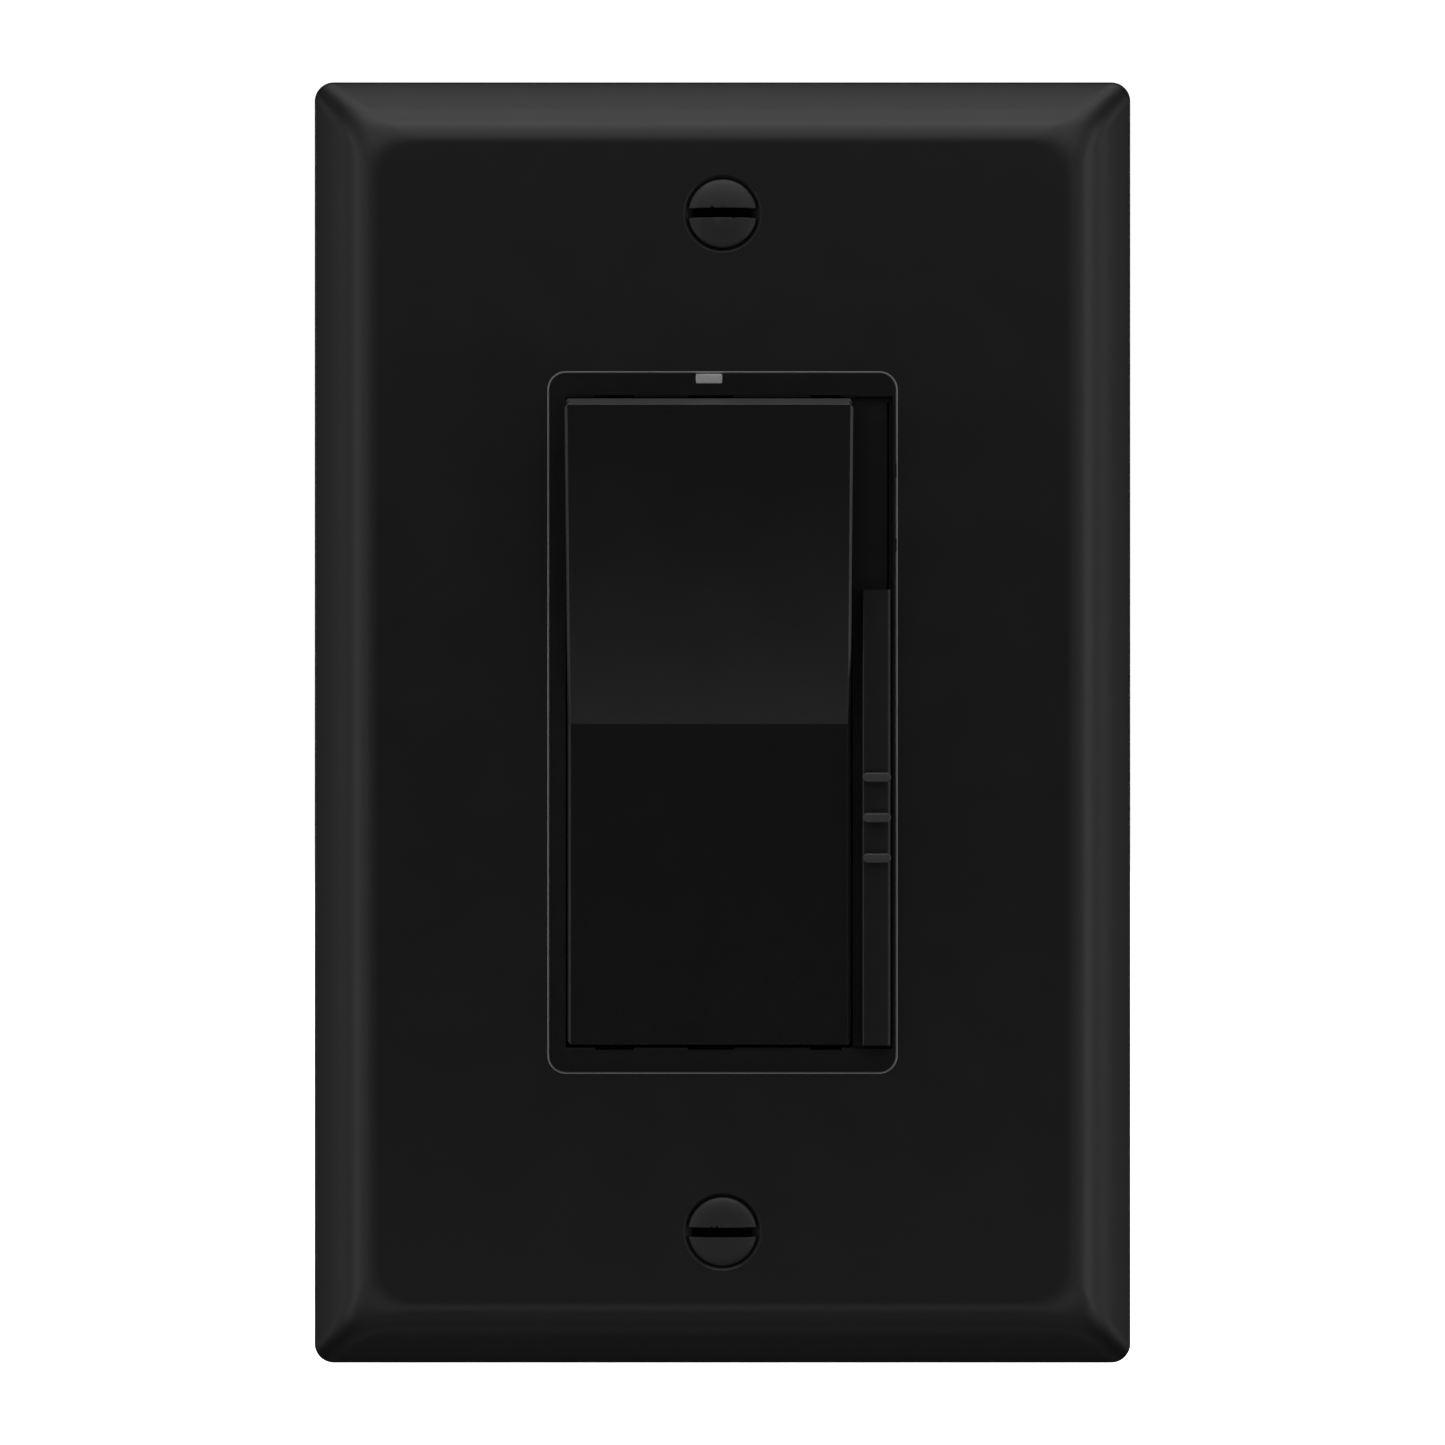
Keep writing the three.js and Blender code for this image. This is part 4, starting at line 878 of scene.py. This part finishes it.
def slide():
    """The slide: a bar, a stem with two tines that hold the potentiometer's lever, and three ridges."""
    low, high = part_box("slide_bar")
    grip = grip_bar(low, high)
    join(grip, block("bridge", STEM_X, (BRIDGE_FRONT, BRIDGE_BACK), STEM_Z))
    for z in ((STEM_Z[0], STEM_Z[0] + TINE_WIDTH), (STEM_Z[1] - TINE_WIDTH, STEM_Z[1])):
        join(grip, block("tine", STEM_X, (TINE_FRONT, high.y), z))
    dress(grip, "slider", "slide", "slide_bar")
    middle_x = (low.x + high.x) / 2
    middle_z = (low.z + high.z) / 2
    for i in range(RIDGE_COUNT):
        centre = (middle_x, middle_z + (i - (RIDGE_COUNT - 1) / 2) * RIDGE_PITCH)
        ridge = domed_strip(f"slide_ridge_{i + 1}", high.x - low.x, RIDGE_HEIGHT, centre,
                            low.y, RIDGE_BACK, RIDGE_EDGE)
        dress(ridge, "slider", "slide", "slide_bar", finishes=("ridge",))


# ---------------------------------------------------------------- the other sub-parts

SOFT_EDGES = {
    "mounting_strap": 0.25 * MM,
    "back_housing": 0.35 * MM,
    "circuit_board": 0.05 * MM,
    "film_capacitor_large": 0.2 * MM,
    "film_capacitor_small": 0.3 * MM,
}
USUAL_EDGE = 0.1 * MM


def dress_other_parts():
    """Gives each sub-part that is still shown as modelled its finish and soft edges."""
    slots = {part["node"]: part["material_slot"] for part in frame["record"]["subparts"]}
    for name, obj in sorted(frame["nodes"].items()):
        if obj.hide_render:
            continue
        obj.data.materials.clear()
        obj.data.materials.append(finish_for(slots[name]))
        soften(obj, SOFT_EDGES.get(name, USUAL_EDGE))


# ---------------------------------------------------------------- studio

PANEL_DISTANCE = 1.2
PANEL_LONG = 1.5
PANEL_SHORT = 0.23
SIDES = {"top": (0, 1), "bottom": (0, -1), "left": (-1, 0), "right": (1, 0)}

# Radiance of the panels on each side, by their angle in degrees from straight in front. The ones
# past 120 degrees stand behind the plate and light its back.
RADIANCE = {
    "top": {34: 1.15, 48: 1.1, 64: 2.85, 84: 2.05, 104: 1.1, 150: 4.0},
    "bottom": {26: 0.13, 30: 0.75, 56: 0.4, 80: 0.33, 104: 0.13, 150: 2.0},
    "left": {28: 0.22, 45: 0.8, 65: 1.6, 90: 0.75, 108: 0.25, 145: 4.0},
    "right": {28: 0.35, 45: 0.55, 65: 1.95, 90: 1.0, 108: 0.25, 145: 4.0},
}


def light_panel(side, degrees, radiance):
    """A long soft light on one side, the given angle round from straight in front of the plate."""
    angle = math.radians(degrees)
    out = PANEL_DISTANCE * math.sin(angle)
    place = Vector((SIDES[side][0] * out, -PANEL_DISTANCE * math.cos(angle), SIDES[side][1] * out))
    light = bpy.data.lights.new(f"{side}_{degrees}", "AREA")
    light.shape = "RECTANGLE"
    light.size = PANEL_LONG if SIDES[side][0] == 0 else PANEL_SHORT
    light.size_y = PANEL_SHORT if SIDES[side][0] == 0 else PANEL_LONG
    light.energy = radiance * math.pi * PANEL_LONG * PANEL_SHORT
    obj = bpy.data.objects.new(light.name, light)
    obj.location = place
    obj.rotation_euler = (-place).to_track_quat("-Z", "Y").to_euler()
    obj.visible_camera = False
    bpy.context.scene.collection.objects.link(obj)


def lights():
    """All the panels, in a world that is otherwise dark."""
    for side, panels in RADIANCE.items():
        for degrees, radiance in panels.items():
            light_panel(side, degrees, radiance)
    world = bpy.data.worlds.new("studio")
    world.use_nodes = True
    world.node_tree.nodes["Background"].inputs["Strength"].default_value = 0.0
    bpy.context.scene.world = world


DOME_RADIUS = 4.0
FLOOR_HALF = 3.0
FLOOR_DROP = 12 * MM
FLOOR_THICKNESS = 10 * MM
ROOM_GLOW = 1.1


def stage():
    """A white floor inside a white dome. Only the camera sees them."""
    bm = bmesh.new()
    bmesh.ops.create_uvsphere(bm, u_segments=48, v_segments=24, radius=DOME_RADIUS)
    dome = finish_mesh("dome", bm)
    floor_z = PLATE_LOW.z - FLOOR_DROP
    across = (-FLOOR_HALF, FLOOR_HALF)
    floor = block("floor", across, across, (floor_z - FLOOR_THICKNESS, floor_z))
    white = bpy.data.materials.new("white_room")
    white.use_nodes = True
    shader = white.node_tree.nodes["Principled BSDF"]
    shader.inputs["Base Color"].default_value = (0.9, 0.9, 0.9, 1)
    shader.inputs["Emission Color"].default_value = (1, 1, 1, 1)
    shader.inputs["Emission Strength"].default_value = ROOM_GLOW
    for obj in (dome, floor):
        obj.data.materials.append(white)
        obj.visible_diffuse = False
        obj.visible_glossy = False
        obj.visible_transmission = False
        obj.visible_shadow = False


CAMERA_DISTANCE = 280 * MM
FRAME_WIDTH = 137.4 * MM
SENSOR = 36.0


def camera():
    """A camera straight in front of the plate's middle."""
    data = bpy.data.cameras.new("camera")
    data.sensor_width = SENSOR
    data.lens = SENSOR * CAMERA_DISTANCE / FRAME_WIDTH
    data.clip_start = 0.01
    obj = bpy.data.objects.new("camera", data)
    obj.location = (0, PLATE_FRONT - CAMERA_DISTANCE, 0)
    obj.rotation_euler = (math.pi / 2, 0, 0)
    bpy.context.scene.collection.objects.link(obj)
    bpy.context.scene.camera = obj


# ---------------------------------------------------------------- assembly

camera()
wall_plate()
plate_screw("top", SCREW_Z)
plate_screw("bottom", -SCREW_Z)
device_frame()
indicator_lens()
paddle()
slide()
dress_other_parts()
lights()
stage()
bpy.context.scene.view_settings.view_transform = "Standard"
